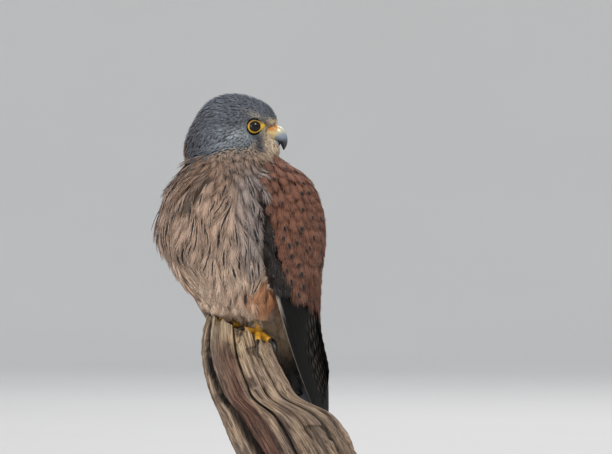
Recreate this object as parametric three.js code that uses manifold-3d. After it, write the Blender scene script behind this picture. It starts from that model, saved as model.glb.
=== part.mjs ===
// A life-size common kestrel, an adult male, perched and looking over its left shoulder.
// Millimetres, +Z up. The bird sits on a cut length of weathered branch on a plain stand.
import * as THREE from "three";
import { ParametricGeometry } from "three/addons/geometries/ParametricGeometry.js";
import { mergeVertices } from "three/addons/utils/BufferGeometryUtils.js";
import Module from "manifold-3d";

const wasm = await Module();
wasm.setup();

// Driving sizes and attitudes of the bird
const BODY_TURN = THREE.MathUtils.degToRad(40); // the breast points this far left of the viewer
const HEAD_TURN = THREE.MathUtils.degToRad(8); // the bill points this far towards the viewer from +X
const TAIL_LEAN = THREE.MathUtils.degToRad(28); // from the vertical
const TAIL_LENGTH = 160;
const TAIL_ROOT = { forward: -28, up: 172 };
const EYE_RADIUS = 7;
const EYE = { ahead: 19, side: 10.3, up: 302 };
const HEAD_PIVOT = { x: -7, y: -8 };
const HEAD_CUT = 287; // height of the cut between head and neck
const NECK_CUT = 279; // height of the cut between neck and trunk
const GAP = 0.4; // clearance kept between touching solids
const SIMPLEST = 0.1; // facets flatter than this are joined

// Driving sizes of the perch and its stand
const PERCH_FOOT = 33; // height of the sawn lower end
const BASE = { radius: 88, thickness: 9, x: 20, y: 6, bevel: 1.5 };
const ROD = { radius: 4, spread: 15 };
const ROD_CENTRE = { x: 50, y: 0 };

const vector = (x, y, z) => new THREE.Vector3(x, y, z);

// A point in the bird's own directions: forward along the breast, out to its left, and up.
const bird = (forward, left, up) =>
  vector(
    -forward * Math.sin(BODY_TURN) + left * Math.cos(BODY_TURN),
    -forward * Math.cos(BODY_TURN) - left * Math.sin(BODY_TURN),
    up,
  );

// A point in the head's own directions: ahead towards the bill, out to the head's left, and up.
const head = (ahead, left, up) =>
  vector(
    HEAD_PIVOT.x + ahead * Math.cos(HEAD_TURN) + left * Math.sin(HEAD_TURN),
    HEAD_PIVOT.y - ahead * Math.sin(HEAD_TURN) + left * Math.cos(HEAD_TURN),
    up,
  );

// Reads rows of [position, value, value, ...] as smooth curves of the position.
function smoothTable(rows) {
  const places = rows.map((row) => row[0]);
  const values = rows.flatMap((row) => row.slice(1));
  const curve = new THREE.CubicInterpolant(places, values, rows[0].length - 1);
  return (at) => [...curve.evaluate(at)];
}

// Closed surface from rings: ringAt(t, angle) gives a point, and each end ring is filled in
// between the points of angle and -angle.
function loft(ringAt, around, rings) {
  const rows = rings + 1;
  const full = 2 * Math.PI;
  const surface = (u, v, target) => {
    const row = Math.round(v * rows);
    const t = THREE.MathUtils.clamp((row - 1) / (rings - 1), 0, 1);
    const angle = ((Math.round(u * around) % around) / around) * full;
    target.copy(ringAt(t, angle));
    if (row === 0 || row === rows) target.lerp(ringAt(t, (full - angle) % full), 0.5);
  };
  return solidOf(new ParametricGeometry(surface, around, rows));
}

// A three.js geometry as a solid, with shared vertices merged and its faces pointing out.
function solidOf(geometry) {
  const bare = geometry.clone();
  bare.deleteAttribute("normal");
  bare.deleteAttribute("uv");
  const merged = mergeVertices(bare, 1e-3);
  const faces = [];
  for (let i = 0; i < merged.index.count; i += 3) {
    const [a, b, c] = [0, 1, 2].map((k) => merged.index.getX(i + k));
    if (a !== b && b !== c && a !== c) faces.push(a, b, c);
  }
  const build = (triangles) =>
    new wasm.Manifold(
      new wasm.Mesh({
        numProp: 3,
        vertProperties: new Float32Array(merged.attributes.position.array),
        triVerts: new Uint32Array(triangles),
      }),
    );
  const solid = build(faces);
  return solid.volume() < 0 ? build(faces.reverse()) : solid;
}

// The solid with every face moved outwards, for cutting clearance around it
function swell(solid, by) {
  const shape = solid.getMesh();
  const { vertProperties: places, triVerts: faces } = shape;
  const corner = (i) => vector(...places.slice(3 * i, 3 * i + 3));
  const normals = Array.from({ length: places.length / 3 }, () => []);
  for (let i = 0; i < faces.length; i += 3) {
    const [a, b, c] = [faces[i], faces[i + 1], faces[i + 2]];
    const normal = new THREE.Triangle(corner(a), corner(b), corner(c)).getNormal(vector(0, 0, 0));
    if (normal.lengthSq() > 0.5) [a, b, c].forEach((v) => normals[v].push(normal));
  }
  normals.forEach((around, v) => {
    const mean = around.reduce((sum, normal) => sum.add(normal), vector(0, 0, 0)).normalize();
    const least = Math.min(...around.map((normal) => normal.dot(mean)));
    const place = corner(v).addScaledVector(mean, by / Math.max(least, 0.3));
    places.set(place.toArray(), 3 * v);
  });
  const moved = new wasm.Mesh({ numProp: 3, vertProperties: places, triVerts: faces });
  return new wasm.Manifold(moved);
}

const unite = (solids) => solids.reduce((sum, solid) => sum.add(solid));
const cutAll = (solid, cutters) => cutters.reduce((left, cutter) => left.subtract(cutter), solid);

// The biggest piece of a solid, which drops slivers that a cut leaves behind.
function mainPiece(solid) {
  return solid.decompose().reduce((best, piece) => (piece.volume() > best.volume() ? piece : best));
}

function box(low, high) {
  const size = high.clone().sub(low);
  const geometry = new THREE.BoxGeometry(size.x, size.y, size.z);
  const middle = low.clone().add(high).multiplyScalar(0.5);
  return solidOf(geometry.translate(middle.x, middle.y, middle.z));
}

// Everything between two heights
const slab = (low, high) => box(vector(-300, -300, low), vector(300, 300, high));

// Trunk and neck: rows of height, how far forward the middle is, half depth, half width
const BODY_SLICES = smoothTable([
  [156, -14, 14, 13],
  [160, -12.5, 25, 23],
  [165, -11, 33, 29],
  [172, -7, 41, 35],
  [180, -3.5, 47.5, 43],
  [190, 2, 52, 45],
  [203, 8, 55.5, 48.5],
  [218, 13, 58.5, 52],
  [234, 14, 57, 50.5],
  [251, 12.5, 53.5, 48],
  [264, 9.5, 46, 42.5],
  [271, 8, 41, 38.5],
  [279, 7, 35, 34],
  [285, 6.5, 31, 30.5],
  [291, 6, 27, 26],
  [299, 5, 19, 18.5],
  [305, 5, 9, 9],
]);
const BODY_HEIGHTS = [156, 305];

function bodyBlank() {
  const [low, high] = BODY_HEIGHTS;
  return loft(
    (t, angle) => {
      const up = THREE.MathUtils.lerp(low, high, t);
      const [middle, depth, width] = BODY_SLICES(up);
      return bird(middle + depth * Math.cos(angle), width * Math.sin(angle), up);
    },
    24,
    14,
  );
}

// A point on the tail's axis, moved across to the bird's left and towards its back
function tailPoint(along, left, back) {
  const forward = TAIL_ROOT.forward - along * Math.sin(TAIL_LEAN) - back * Math.cos(TAIL_LEAN);
  return bird(forward, left, TAIL_ROOT.up - along * Math.cos(TAIL_LEAN) + back * Math.sin(TAIL_LEAN));
}

// Rump and tail coverts: rows of distance along the tail, half width, half depth
const COVERT_SLICES = smoothTable([
  [-24, 36, 33],
  [0, 27, 22],
  [30, 19.5, 13],
  [58, 15, 7.5],
  [80, 9, 2.5],
]);
const COVERT_REACH = [-24, 80];

function covertBlank() {
  return loft(
    (t, angle) => {
      const along = THREE.MathUtils.lerp(COVERT_REACH[0], COVERT_REACH[1], t);
      const [width, depth] = COVERT_SLICES(along);
      return tailPoint(along, width * Math.cos(angle), depth * Math.sin(angle));
    },
    16,
    7,
  );
}

// Head: rows of distance ahead of the pivot, height of the middle, half height, half width
const HEAD_SLICES = smoothTable([
  [-36.5, 285.5, 3, 3],
  [-35, 286, 7, 7],
  [-30, 290, 14, 13.5],
  [-23, 296, 20, 18.5],
  [-13, 301, 24, 22],
  [2, 303.5, 24.5, 21.5],
  [13, 304, 23, 18],
  [21, 303, 21, 15.5],
  [28, 301.5, 18.5, 12.5],
  [34, 299.5, 13, 9.5],
  [36.5, 298.5, 7.5, 6],
]);
const HEAD_REACH = [-36.5, 36.5];

function headBlank() {
  return loft(
    (t, angle) => {
      const ahead = THREE.MathUtils.lerp(HEAD_REACH[0], HEAD_REACH[1], (1 - Math.cos(t * Math.PI)) / 2);
      const [middle, height, width] = HEAD_SLICES(ahead);
      return head(ahead, width * Math.cos(angle), middle + height * Math.sin(angle));
    },
    20,
    12,
  );
}

// A tapering tube along a curve that stays in one upright plane
function curvedHorn(points, sideways, sizeAt, around, rings) {
  const spine = new THREE.CatmullRomCurve3(points);
  return loft(
    (t, angle) => {
      const across = sideways.clone().normalize();
      const up = across.clone().cross(spine.getTangentAt(t)).normalize();
      const [width, height] = sizeAt(t);
      return spine
        .getPointAt(t)
        .addScaledVector(across, width * Math.cos(angle))
        .addScaledVector(up, height * Math.sin(angle));
    },
    around,
    rings,
  );
}

const headSide = head(0, 1, 0).sub(head(0, 0, 0));

// Hooked upper bill, from inside the cere to its tip
const UPPER_BILL = smoothTable([
  [0, 5.3, 5.6],
  [0.3, 4.8, 5.2],
  [0.6, 3.2, 3.7],
  [0.85, 1.5, 1.9],
  [1, 0.35, 0.4],
]);

// Middle lines of the bill's parts: rows of distance ahead of the head's pivot, and height
const UPPER_SPINE = [[31, 298.2], [35.6, 297.4], [38.7, 294.2], [40.3, 289.6], [40.3, 284.8]];
const LOWER_SPINE = [[29, 291.6], [33.6, 290.5], [37.2, 288.3]];
const CERE_SPINE = [[27.5, 299], [31.4, 298.8], [35.6, 298]];
const inBillPlane = (rows) => rows.map(([ahead, up]) => head(ahead, 0, up));

const upperBill = () => curvedHorn(inBillPlane(UPPER_SPINE), headSide, UPPER_BILL, 10, 7);
const lowerBill = () =>
  curvedHorn(inBillPlane(LOWER_SPINE), headSide, (t) => [4.3 - 2.8 * t * t, 2.6 - 1.6 * t * t], 8, 4);
const cere = () =>
  curvedHorn(inBillPlane(CERE_SPINE), headSide, (t) => [6.2 - 0.7 * t, 5.4 - 0.3 * t], 10, 3);

function eyeball(side) {
  const middle = head(EYE.ahead, side * EYE.side, EYE.up);
  const globe = new THREE.SphereGeometry(EYE_RADIUS, 12, 8);
  return solidOf(globe.translate(middle.x, middle.y, middle.z));
}

// Folded wing: rows of height, then the forward and left place of its front edge,
// of its outermost corner, and of its inner edge beside the back
const WING_SLICES = smoothTable([
  [51, -98, 12.5, -98, 12.5, -98, 12.5],
  [88, -71, 21, -89.5, 14, -92, 9],
  [109, -52, 26.5, -81, 19, -86, 8],
  [151, -12, 40, -56, 31.5, -64, 7],
  [190, 20, 47, -43, 43.5, -54, 8],
  [212, 30, 51, -38, 51, -48, 10],
  [234, 36.5, 52, -32.5, 55, -44, 11],
  [250, 34, 50, -27, 54, -40, 12],
  [264, 26, 45, -20, 50, -32, 14],
  [277, 10, 32, -8, 38, -18, 18],
]);

// A point on the outer face of the folded wing: across runs from the front edge to the inner edge
function wingPoint(side, up, across, inward) {
  const [frontX, frontY, cornerX, cornerY, innerX, innerY] = WING_SLICES(up);
  const bend = (a, corner, b) => {
    const control = 2 * corner - (a + b) / 2;
    return (1 - across) ** 2 * a + 2 * across * (1 - across) * control + across ** 2 * b;
  };
  const forward = bend(frontX, cornerX, innerX);
  const left = bend(frontY, cornerY, innerY);
  const trunkMiddle = -10 + 0.12 * (up - 151);
  const towards = new THREE.Vector2(trunkMiddle - forward, -left).normalize();
  return bird(forward + towards.x * inward, side * (left + towards.y * inward), up);
}

// The wing's arm: a slab on that outer face, thick in the middle and thin at its edges
const WING_ARM = { low: 178, high: 277, thickness: 22 };

function wingArm(side) {
  const { low, high, thickness } = WING_ARM;
  return loft(
    (t, angle) => {
      const up = THREE.MathUtils.lerp(low, high, t);
      const across = 0.5 - 0.5 * Math.cos(angle);
      const ends = Math.sin(Math.PI * THREE.MathUtils.clamp(0.04 + 0.92 * t, 0, 1)) ** 0.5;
      const inside = Math.max(-Math.sin(angle), 0) ** 0.7;
      return wingPoint(side, up, across, thickness * ends * inside + 4 * (1 - ends));
    },
    16,
    9,
  );
}

// A ring that runs down one face of a thin sheet and back up its other face: how far down, as a
// share, and which face
const SHEET_RING = 12;
const SHEET_STEPS = [0, 0.008, 0.27, 0.5, 0.73, 0.992, 1];
function sheetRing(angle) {
  const index = Math.round((angle / (2 * Math.PI)) * SHEET_RING);
  const half = SHEET_RING / 2;
  const down = SHEET_STEPS[index > half ? SHEET_RING - index : index];
  return { down, face: Math.sign(half - index) * (index ? 1 : 0) };
}

// Folded flight feathers: their tips step down from the inner ones to the long outer ones
const FLIGHT = { top: 196, steps: 7, thickness: 1.5 };

function flightTip(across) {
  const step = Math.floor(across * FLIGHT.steps) / (FLIGHT.steps - 1);
  const rounding = 5 * (across * FLIGHT.steps - Math.floor(across * FLIGHT.steps)) ** 3;
  return 54 + 66 * Math.min(step, 1) ** 1.15 + rounding;
}

function flightFan(side) {
  const columns = 2 * FLIGHT.steps;
  return loft(
    (t, angle) => {
      const { down, face } = sheetRing(angle);
      const column = Math.round(t * (columns - 1));
      const across = (Math.floor(column / 2) + (column % 2) * 0.88) / FLIGHT.steps;
      const up = THREE.MathUtils.lerp(FLIGHT.top, flightTip(Math.min(across, 0.999)), down);
      const depth = 2.8 - 1.5 * t - (face * FLIGHT.thickness) / 2;
      return wingPoint(side, up, 0.03 + 0.9 * across, depth);
    },
    SHEET_RING,
    columns,
  );
}

// Folded tail: the outer feathers are shorter and lie further under
const TAIL = { columns: 11, halfWidth: 20.5, thickness: 1.6 };

function tailFan() {
  return loft(
    (t, angle) => {
      const { down, face } = sheetRing(angle);
      const off = 2 * t - 1;
      const length = TAIL_LENGTH * (1 - 0.13 * Math.abs(off) ** 2.4);
      const along = THREE.MathUtils.lerp(12, length, down);
      const half = THREE.MathUtils.lerp(9, TAIL.halfWidth, along / TAIL_LENGTH);
      const back = 1.5 - 3.5 * off * off + (face * TAIL.thickness) / 2;
      return tailPoint(along, half * off, back);
    },
    SHEET_RING,
    TAIL.columns,
  );
}

// Feathered thigh, from the flank down to the ankle
const FEET = {
  right: { x: 2, y: 8, toes: [[204, 20], [170, 16], [242, 17], [62, 12]] },
  left: { x: 13, y: -4, toes: [[272, 17], [308, 15], [228, 15], [38, 12]] },
};
// Height of the broken top of the branch, which falls to the viewer's right
const restHeight = (x) => 149.6 - 0.42 * x;

function thigh(name) {
  const { x, y } = FEET[name];
  const side = name === "left" ? 1 : -1;
  const spine = new THREE.CatmullRomCurve3([
    bird(2, side * 26, 196),
    bird(0, side * 20, 178),
    vector(x, y, restHeight(x) + 9),
  ]);
  return loft(
    (t, angle) => {
      const middle = spine.getPoint(t);
      const radius = 17 - 11 * t ** 1.4;
      return middle.add(vector(radius * Math.cos(angle), radius * Math.sin(angle), 0));
    },
    10,
    5,
  );
}

// A toe's spine arches from the foot's middle and rests along the broken wood
function toeSpine(foot, bearing, length) {
  const turn = THREE.MathUtils.degToRad(bearing);
  const at = (share, lift) => {
    const x = foot.x + Math.cos(turn) * length * share;
    const y = foot.y + Math.sin(turn) * length * share;
    const overEdge = Math.max(Math.abs(y) - 15, 0) * 0.7;
    return vector(x, y, restHeight(x) + lift - overEdge);
  };
  return new THREE.CatmullRomCurve3([at(0, 3.6), at(0.35, 3.9), at(0.7, 3.0), at(1, 2.9)]);
}

function tubeAlong(spine, radiusAt, around, rings) {
  const upright = vector(0, 0, 1);
  return loft(
    (t, angle) => {
      const tangent = spine.getTangentAt(t);
      const across = tangent.clone().cross(upright).normalize();
      const up = across.clone().cross(tangent);
      const radius = radiusAt(t);
      return spine
        .getPointAt(t)
        .addScaledVector(across, radius * Math.cos(angle))
        .addScaledVector(up, radius * Math.sin(angle));
    },
    around,
    rings,
  );
}

function footPieces(name) {
  const foot = FEET[name];
  const toes = foot.toes.map(([bearing, length]) =>
    tubeAlong(
      toeSpine(foot, bearing, length),
      (t) => 2.5 - 0.5 * t,
      6,
      3,
    ),
  );
  const ankle = new THREE.LineCurve3(
    vector(foot.x, foot.y, restHeight(foot.x) + 2.5),
    vector(foot.x + 0.5, foot.y - 0.5, restHeight(foot.x) + 14),
  );
  const shank = loft(
    (t, angle) => {
      const radius = 3.6 - 0.6 * t;
      return ankle.getPoint(t).add(vector(radius * Math.cos(angle), radius * Math.sin(angle), 0));
    },
    8,
    2,
  );
  return [...toes, shank];
}

// Curved claw from the end of a toe, hooking down over the wood
function claw(name, index) {
  const foot = FEET[name];
  const [bearing, length] = foot.toes[index];
  const spine = toeSpine(foot, bearing, length);
  const root = spine.getPointAt(1);
  const out = spine.getTangentAt(1);
  const reach = (ahead, down) => root.clone().addScaledVector(out, ahead).add(vector(0, 0, -down));
  const curve = new THREE.CatmullRomCurve3([
    reach(0.45, 0),
    reach(3.6, 0.2),
    reach(6.6, 2.4),
    reach(7.9, 6.4),
  ]);
  return tubeAlong(curve, (t) => 1.65 - 1.35 * t, 6, 5);
}

// Weathered branch: rows of height, its left and right outline, and half depth
const PERCH_SLICES = smoothTable([
  [33, 10, 97, 31],
  [57, -2, 86, 30],
  [76, -11, 76, 28],
  [88, -16, 65, 27],
  [99, -21, 43, 25],
  [112, -25, 34, 24],
  [137, -28, 22, 22],
  [152, -26, 17, 20],
  [168, -21, 11, 18],
]);
const PERCH_TOP = 168;

// Long cracks in the branch: bearing, half width in turns of a radian, and depth
const CRACKS = [
  [-2.35, 0.1, 7],
  [-1.35, 0.08, 5],
  [-0.75, 0.09, 6],
  [0.6, 0.1, 6],
  [1.9, 0.12, 7],
  [3.0, 0.09, 5],
];

function perchBlank() {
  return loft(
    (t, angle) => {
      const up = THREE.MathUtils.lerp(PERCH_FOOT, PERCH_TOP, t);
      const [left, right, depth] = PERCH_SLICES(up);
      const twist = angle + 0.0022 * (up - 90);
      const crack = CRACKS.reduce((sum, [bearing, width, deep]) => {
        const off = Math.atan2(Math.sin(twist - bearing), Math.cos(twist - bearing));
        return sum + deep * Math.exp(-((off / width) ** 2));
      }, 0);
      const ribs = 1.2 * Math.cos(7 * twist) + 0.8 * Math.cos(12 * twist + 1);
      const across = (right - left) / 2 - crack + ribs;
      const deep = depth - crack + ribs;
      return vector((left + right) / 2 + across * Math.cos(angle), deep * Math.sin(angle), up);
    },
    40,
    8,
  );
}

// Jagged cutter that leaves the broken top, higher where splinters stand
function brokenTop() {
  const reach = 60;
  return loft(
    (t, angle) => {
      const radius = reach * t;
      const x = radius * Math.cos(angle);
      const y = radius * Math.sin(angle);
      const splinter = 2.6 * Math.cos(angle * 7 + 0.4) + 1.8 * Math.cos(angle * 13 + 2);
      const rim = THREE.MathUtils.smoothstep(radius, 14, 24) * (1.4 + splinter);
      return vector(x - 3, y, t > 0.999 ? 240 : restHeight(x) + 0.4 + rim);
    },
    28,
    7,
  );
}

function standBase() {
  const { radius, thickness, bevel } = BASE;
  const outline = [
    new THREE.Vector2(0, 0),
    new THREE.Vector2(radius, 0),
    new THREE.Vector2(radius, thickness - bevel),
    new THREE.Vector2(radius - bevel, thickness),
    new THREE.Vector2(0, thickness),
  ];
  const plate = new THREE.LatheGeometry(outline, 48).rotateX(Math.PI / 2);
  return solidOf(plate.translate(BASE.x, BASE.y, 0));
}

function standRod(side) {
  const length = PERCH_FOOT - BASE.thickness - 2 * GAP;
  const rod = new THREE.CylinderGeometry(ROD.radius, ROD.radius, length, 20).rotateX(Math.PI / 2);
  const middle = BASE.thickness + GAP + length / 2;
  return solidOf(rod.translate(ROD_CENTRE.x + side * ROD.spread, ROD_CENTRE.y, middle));
}

// Finishes of the parts: colour, roughness, metalness
const FINISH = {
  slate: [0x5c6269, 0.8, 0],
  buff: [0xa88c74, 0.85, 0],
  chestnut: [0x7a4e3c, 0.8, 0],
  dark: [0x1f1b18, 0.6, 0],
  yellow: [0xd79a1c, 0.55, 0],
  horn: [0x4a5560, 0.35, 0],
  claw: [0x23232a, 0.35, 0],
  eye: [0x0d0906, 0.05, 0],
  wood: [0x8c7460, 0.9, 0],
  stand: [0x2c2e31, 0.45, 0.2],
};

function named(name, solid, finish) {
  const shape = mainPiece(solid.simplify(0.06)).getMesh();
  const geometry = new THREE.BufferGeometry();
  geometry.setAttribute("position", new THREE.BufferAttribute(shape.vertProperties, 3));
  geometry.setIndex(new THREE.BufferAttribute(shape.triVerts, 1));
  geometry.computeVertexNormals();
  const [color, roughness, metalness] = FINISH[finish];
  const mesh = new THREE.Mesh(geometry, new THREE.MeshStandardMaterial({ color, roughness, metalness }));
  mesh.name = name;
  return mesh;
}

const SIDES = { left: 1, right: -1 };
const feet = Object.keys(SIDES);
const simplest = (solid) => solid.simplify(SIMPLEST);

// The solids before they are fitted to each other, and the same swollen by the gap
const blanks = {
  claws: feet.flatMap((name) => FEET[name].toes.map((toe, index) => claw(name, index))),
  feet: feet.flatMap(footPieces),
  thighs: feet.map(thigh),
  wings: feet.map((name) => wingArm(SIDES[name])),
  flights: feet.map((name) => simplest(flightFan(SIDES[name]))),
  tail: [simplest(tailFan())],
  bill: [upperBill(), lowerBill(), cere(), eyeball(1), eyeball(-1)],
  body: [bodyBlank(), covertBlank()].map(simplest),
};
const grown = Object.fromEntries(
  Object.entries(blanks).map(([name, solids]) => [name, solids.map((solid) => swell(solid, GAP))]),
);

const group = new THREE.Group();

function addHead(whole) {
  const [upper, lower, fleshy, leftEye, rightEye] = blanks.bill;
  const [grownUpper, , grownCere] = grown.bill;
  group.add(named("head", cutAll(whole, grown.bill), "slate"));
  group.add(named("bill_upper", upper, "horn"));
  group.add(named("bill_lower", cutAll(lower, [grownUpper, grownCere]), "horn"));
  group.add(named("cere", fleshy.subtract(grownUpper), "yellow"));
  group.add(named("eye_left", leftEye, "eye"));
  group.add(named("eye_right", rightEye, "eye"));
}

function addBody() {
  const flesh = unite([...blanks.body, headBlank()]).simplify(3 * SIMPLEST);
  const half = GAP / 2;
  const { wings, thighs, feet: toes, claws, flights, tail } = grown;
  const below = flesh.subtract(slab(NECK_CUT - half, 400));
  const middle = flesh.intersect(slab(NECK_CUT + half, HEAD_CUT - half));
  const above = flesh.subtract(slab(0, HEAD_CUT + half));
  const besideTrunk = [...wings, ...thighs, ...toes, ...claws, ...flights, ...tail];
  group.add(named("trunk", cutAll(below, besideTrunk), "buff"));
  group.add(named("neck", cutAll(middle, wings), "buff"));
  addHead(above);
}

function addLimbs() {
  feet.forEach((name, i) => {
    const others = i === 0 ? [] : grown.flights.slice(0, i);
    group.add(named(`wing_${name}`, cutAll(blanks.wings[i], grown.flights), "chestnut"));
    group.add(named(`flight_feathers_${name}`, cutAll(blanks.flights[i], others), "dark"));
    group.add(named(`thigh_${name}`, cutAll(blanks.thighs[i], [...grown.feet, ...grown.wings]), "buff"));
    group.add(named(`foot_${name}`, cutAll(unite(footPieces(name)), grown.claws), "yellow"));
    FEET[name].toes.forEach((toe, index) => {
      const place = i * FEET[name].toes.length + index;
      group.add(named(`claw_${name}_${index + 1}`, blanks.claws[place], "claw"));
    });
  });
  group.add(named("tail", cutAll(blanks.tail[0], grown.flights), "dark"));
}

function addPerchAndStand() {
  const cutters = [...grown.feet, ...grown.claws, ...grown.thighs, ...grown.body];
  const branch = perchBlank().subtract(brokenTop()).simplify(3 * SIMPLEST);
  group.add(named("perch", cutAll(branch, cutters), "wood"));
  group.add(named("stand_base", standBase(), "stand"));
  group.add(named("stand_rod_1", standRod(-1), "stand"));
  group.add(named("stand_rod_2", standRod(1), "stand"));
}

addBody();
addLimbs();
addPerchAndStand();

// The frame's origin is under the middle of the whole model, on the surface it stands on.
const whole = new THREE.Box3().setFromObject(group);
const middle = whole.getCenter(vector(0, 0, 0));
group.position.set(-middle.x, -middle.y, -whole.min.z);

export default group;
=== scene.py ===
"""Looks of a life-size male kestrel on a cut branch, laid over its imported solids."""
import math

import bmesh
import bpy
import numpy as np
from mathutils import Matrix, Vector
from mathutils.bvhtree import BVHTree


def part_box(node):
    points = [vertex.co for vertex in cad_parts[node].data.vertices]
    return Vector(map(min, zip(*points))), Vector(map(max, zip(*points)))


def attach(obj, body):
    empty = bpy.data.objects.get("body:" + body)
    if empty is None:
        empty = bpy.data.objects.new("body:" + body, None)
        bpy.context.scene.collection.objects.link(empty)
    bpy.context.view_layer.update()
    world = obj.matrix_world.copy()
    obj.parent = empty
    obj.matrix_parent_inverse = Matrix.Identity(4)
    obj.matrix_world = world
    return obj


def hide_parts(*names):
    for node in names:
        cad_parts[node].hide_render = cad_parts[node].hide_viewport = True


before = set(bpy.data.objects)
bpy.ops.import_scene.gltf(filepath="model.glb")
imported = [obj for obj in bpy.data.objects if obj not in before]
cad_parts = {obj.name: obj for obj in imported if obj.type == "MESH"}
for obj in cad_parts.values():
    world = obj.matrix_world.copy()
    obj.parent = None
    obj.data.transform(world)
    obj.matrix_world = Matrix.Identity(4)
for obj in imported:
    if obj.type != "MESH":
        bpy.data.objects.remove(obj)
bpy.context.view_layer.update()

# Drawing sizes are millimetres, in the same axes as the frame. The stand's base is centred here
# in the drawing, which is how the drawing finds its place in the frame.
MM = 0.001
STAND_CENTRE = (20.0, 6.0)
BODY_TURN = math.radians(40)
HEAD_TURN = math.radians(8)
TAIL_LEAN = math.radians(28)
TAIL_ROOT = (-28.0, 172.0)
TAIL_LENGTH = 160.0
HEAD_PIVOT = (-7.0, -8.0)
EYE = (19.0, 10.3, 302.0)
EYE_RADIUS = 7.0
EYE_OPENING = 4.05

SIDES = (("left", 1), ("right", -1))

# The photograph: one pixel is this many millimetres at the bird, and its middle is here
PIXEL = 0.75
PICTURE = (612, 454)
PICTURE_MIDDLE = (49.5, 227.25)
CAMERA_DISTANCE = 3300.0
SENSOR = 36.0

chance = np.random.default_rng(20)


def smooth_table(rows):
    """A smooth curve through rows of [position, value, value, ...], read at any array of positions."""
    table = np.array(rows, float)
    places, values = table[:, 0], table[:, 1:]
    slopes = np.gradient(values, places, axis=0)

    def read(at):
        at = np.clip(np.asarray(at, float), places[0], places[-1])
        i = np.clip(np.searchsorted(places, at) - 1, 0, len(places) - 2)
        span = (places[i + 1] - places[i])[..., None]
        t = (at - places[i])[..., None] / span
        start = (2 * t**3 - 3 * t**2 + 1) * values[i] + (t**3 - 2 * t**2 + t) * span * slopes[i]
        end = (3 * t**2 - 2 * t**3) * values[i + 1] + (t**3 - t**2) * span * slopes[i + 1]
        return start + end

    return read


def smooth_line(rows):
    """A smooth curve through rows of [position, value], read at any array of positions."""
    read = smooth_table(rows)
    return lambda at: read(at)[..., 0]


def ramp(x, low, high):
    """0 below low, 1 above high, and smooth between them; low may be the larger."""
    t = np.clip((np.asarray(x, float) - low) / (high - low), 0, 1)
    return t * t * (3 - 2 * t)


def bump(x, middle, reach):
    return np.exp(-(((np.asarray(x, float) - middle) / reach) ** 2))


def unit(v):
    return v / np.maximum(np.linalg.norm(v, axis=-1, keepdims=True), 1e-9)


def dot(a, b):
    return (a * b).sum(-1)


def stack(*parts):
    return np.stack(np.broadcast_arrays(*[np.asarray(p, float) for p in parts]), -1)


def bird(forward, left, up):
    """A drawing point from the bird's own directions: along its breast, out to its left, and up."""
    forward, left = np.asarray(forward, float), np.asarray(left, float)
    x = -forward * math.sin(BODY_TURN) + left * math.cos(BODY_TURN)
    y = -forward * math.cos(BODY_TURN) - left * math.sin(BODY_TURN)
    return stack(x, y, up)


def in_bird(points):
    x, y, up = np.moveaxis(points, -1, 0)
    forward = -x * math.sin(BODY_TURN) - y * math.cos(BODY_TURN)
    left = x * math.cos(BODY_TURN) - y * math.sin(BODY_TURN)
    return forward, left, up


def head(ahead, left, up):
    """A drawing point from the head's own directions: towards the bill, out to its left, and up."""
    ahead, left = np.asarray(ahead, float), np.asarray(left, float)
    x = HEAD_PIVOT[0] + ahead * math.cos(HEAD_TURN) + left * math.sin(HEAD_TURN)
    y = HEAD_PIVOT[1] - ahead * math.sin(HEAD_TURN) + left * math.cos(HEAD_TURN)
    return stack(x, y, up)


def in_head(points):
    x, y, up = np.moveaxis(points, -1, 0)
    x, y = x - HEAD_PIVOT[0], y - HEAD_PIVOT[1]
    ahead = x * math.cos(HEAD_TURN) - y * math.sin(HEAD_TURN)
    left = x * math.sin(HEAD_TURN) + y * math.cos(HEAD_TURN)
    return ahead, left, up


def tail_point(along, left, back):
    forward = TAIL_ROOT[0] - along * math.sin(TAIL_LEAN) - back * math.cos(TAIL_LEAN)
    up = TAIL_ROOT[1] - along * math.cos(TAIL_LEAN) + back * math.sin(TAIL_LEAN)
    return bird(forward, left, up)


def in_tail(points):
    """Distance down the tail, out to the bird's left, and towards its upper side."""
    forward, left, up = in_bird(points)
    forward, up = forward - TAIL_ROOT[0], up - TAIL_ROOT[1]
    along = -forward * math.sin(TAIL_LEAN) - up * math.cos(TAIL_LEAN)
    back = -forward * math.cos(TAIL_LEAN) + up * math.sin(TAIL_LEAN)
    return along, left, back


BREAST_WAY = bird(1, 0, 0)
TAIL_WAY = bird(-math.sin(TAIL_LEAN), 0, -math.cos(TAIL_LEAN))
HEAD_ORIGIN = head(0, 0, 0)
BILL_WAY = head(1, 0, 0) - HEAD_ORIGIN
HEAD_SIDE = head(0, 1, 0) - HEAD_ORIGIN

base_low, base_high = (np.array(corner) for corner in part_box("stand_base"))
SHIFT = np.append(((base_low + base_high) / 2)[:2] / MM - STAND_CENTRE, 0.0)


def to_frame(points):
    return (np.asarray(points, float) + SHIFT) * MM


def to_drawing(points):
    return np.asarray(points, float) / MM - SHIFT


def linear(colour):
    """Linear colour from an 8-bit screen colour."""
    c = np.asarray(colour, float) / 255
    return np.where(c <= 0.04045, c / 12.92, ((c + 0.055) / 1.055) ** 2.4)


def mixed(a, b, share):
    share = np.asarray(share, float)[..., None]
    return np.asarray(a, float) * (1 - share) + np.asarray(b, float) * share


def mixed_values(a, b, share):
    return a * (1 - share) + b * share


# Meshes


def new_object(name, data):
    """An object with that data, in the scene."""
    thing = bpy.data.objects.new(name, data)
    bpy.context.collection.objects.link(thing)
    return thing


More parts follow.
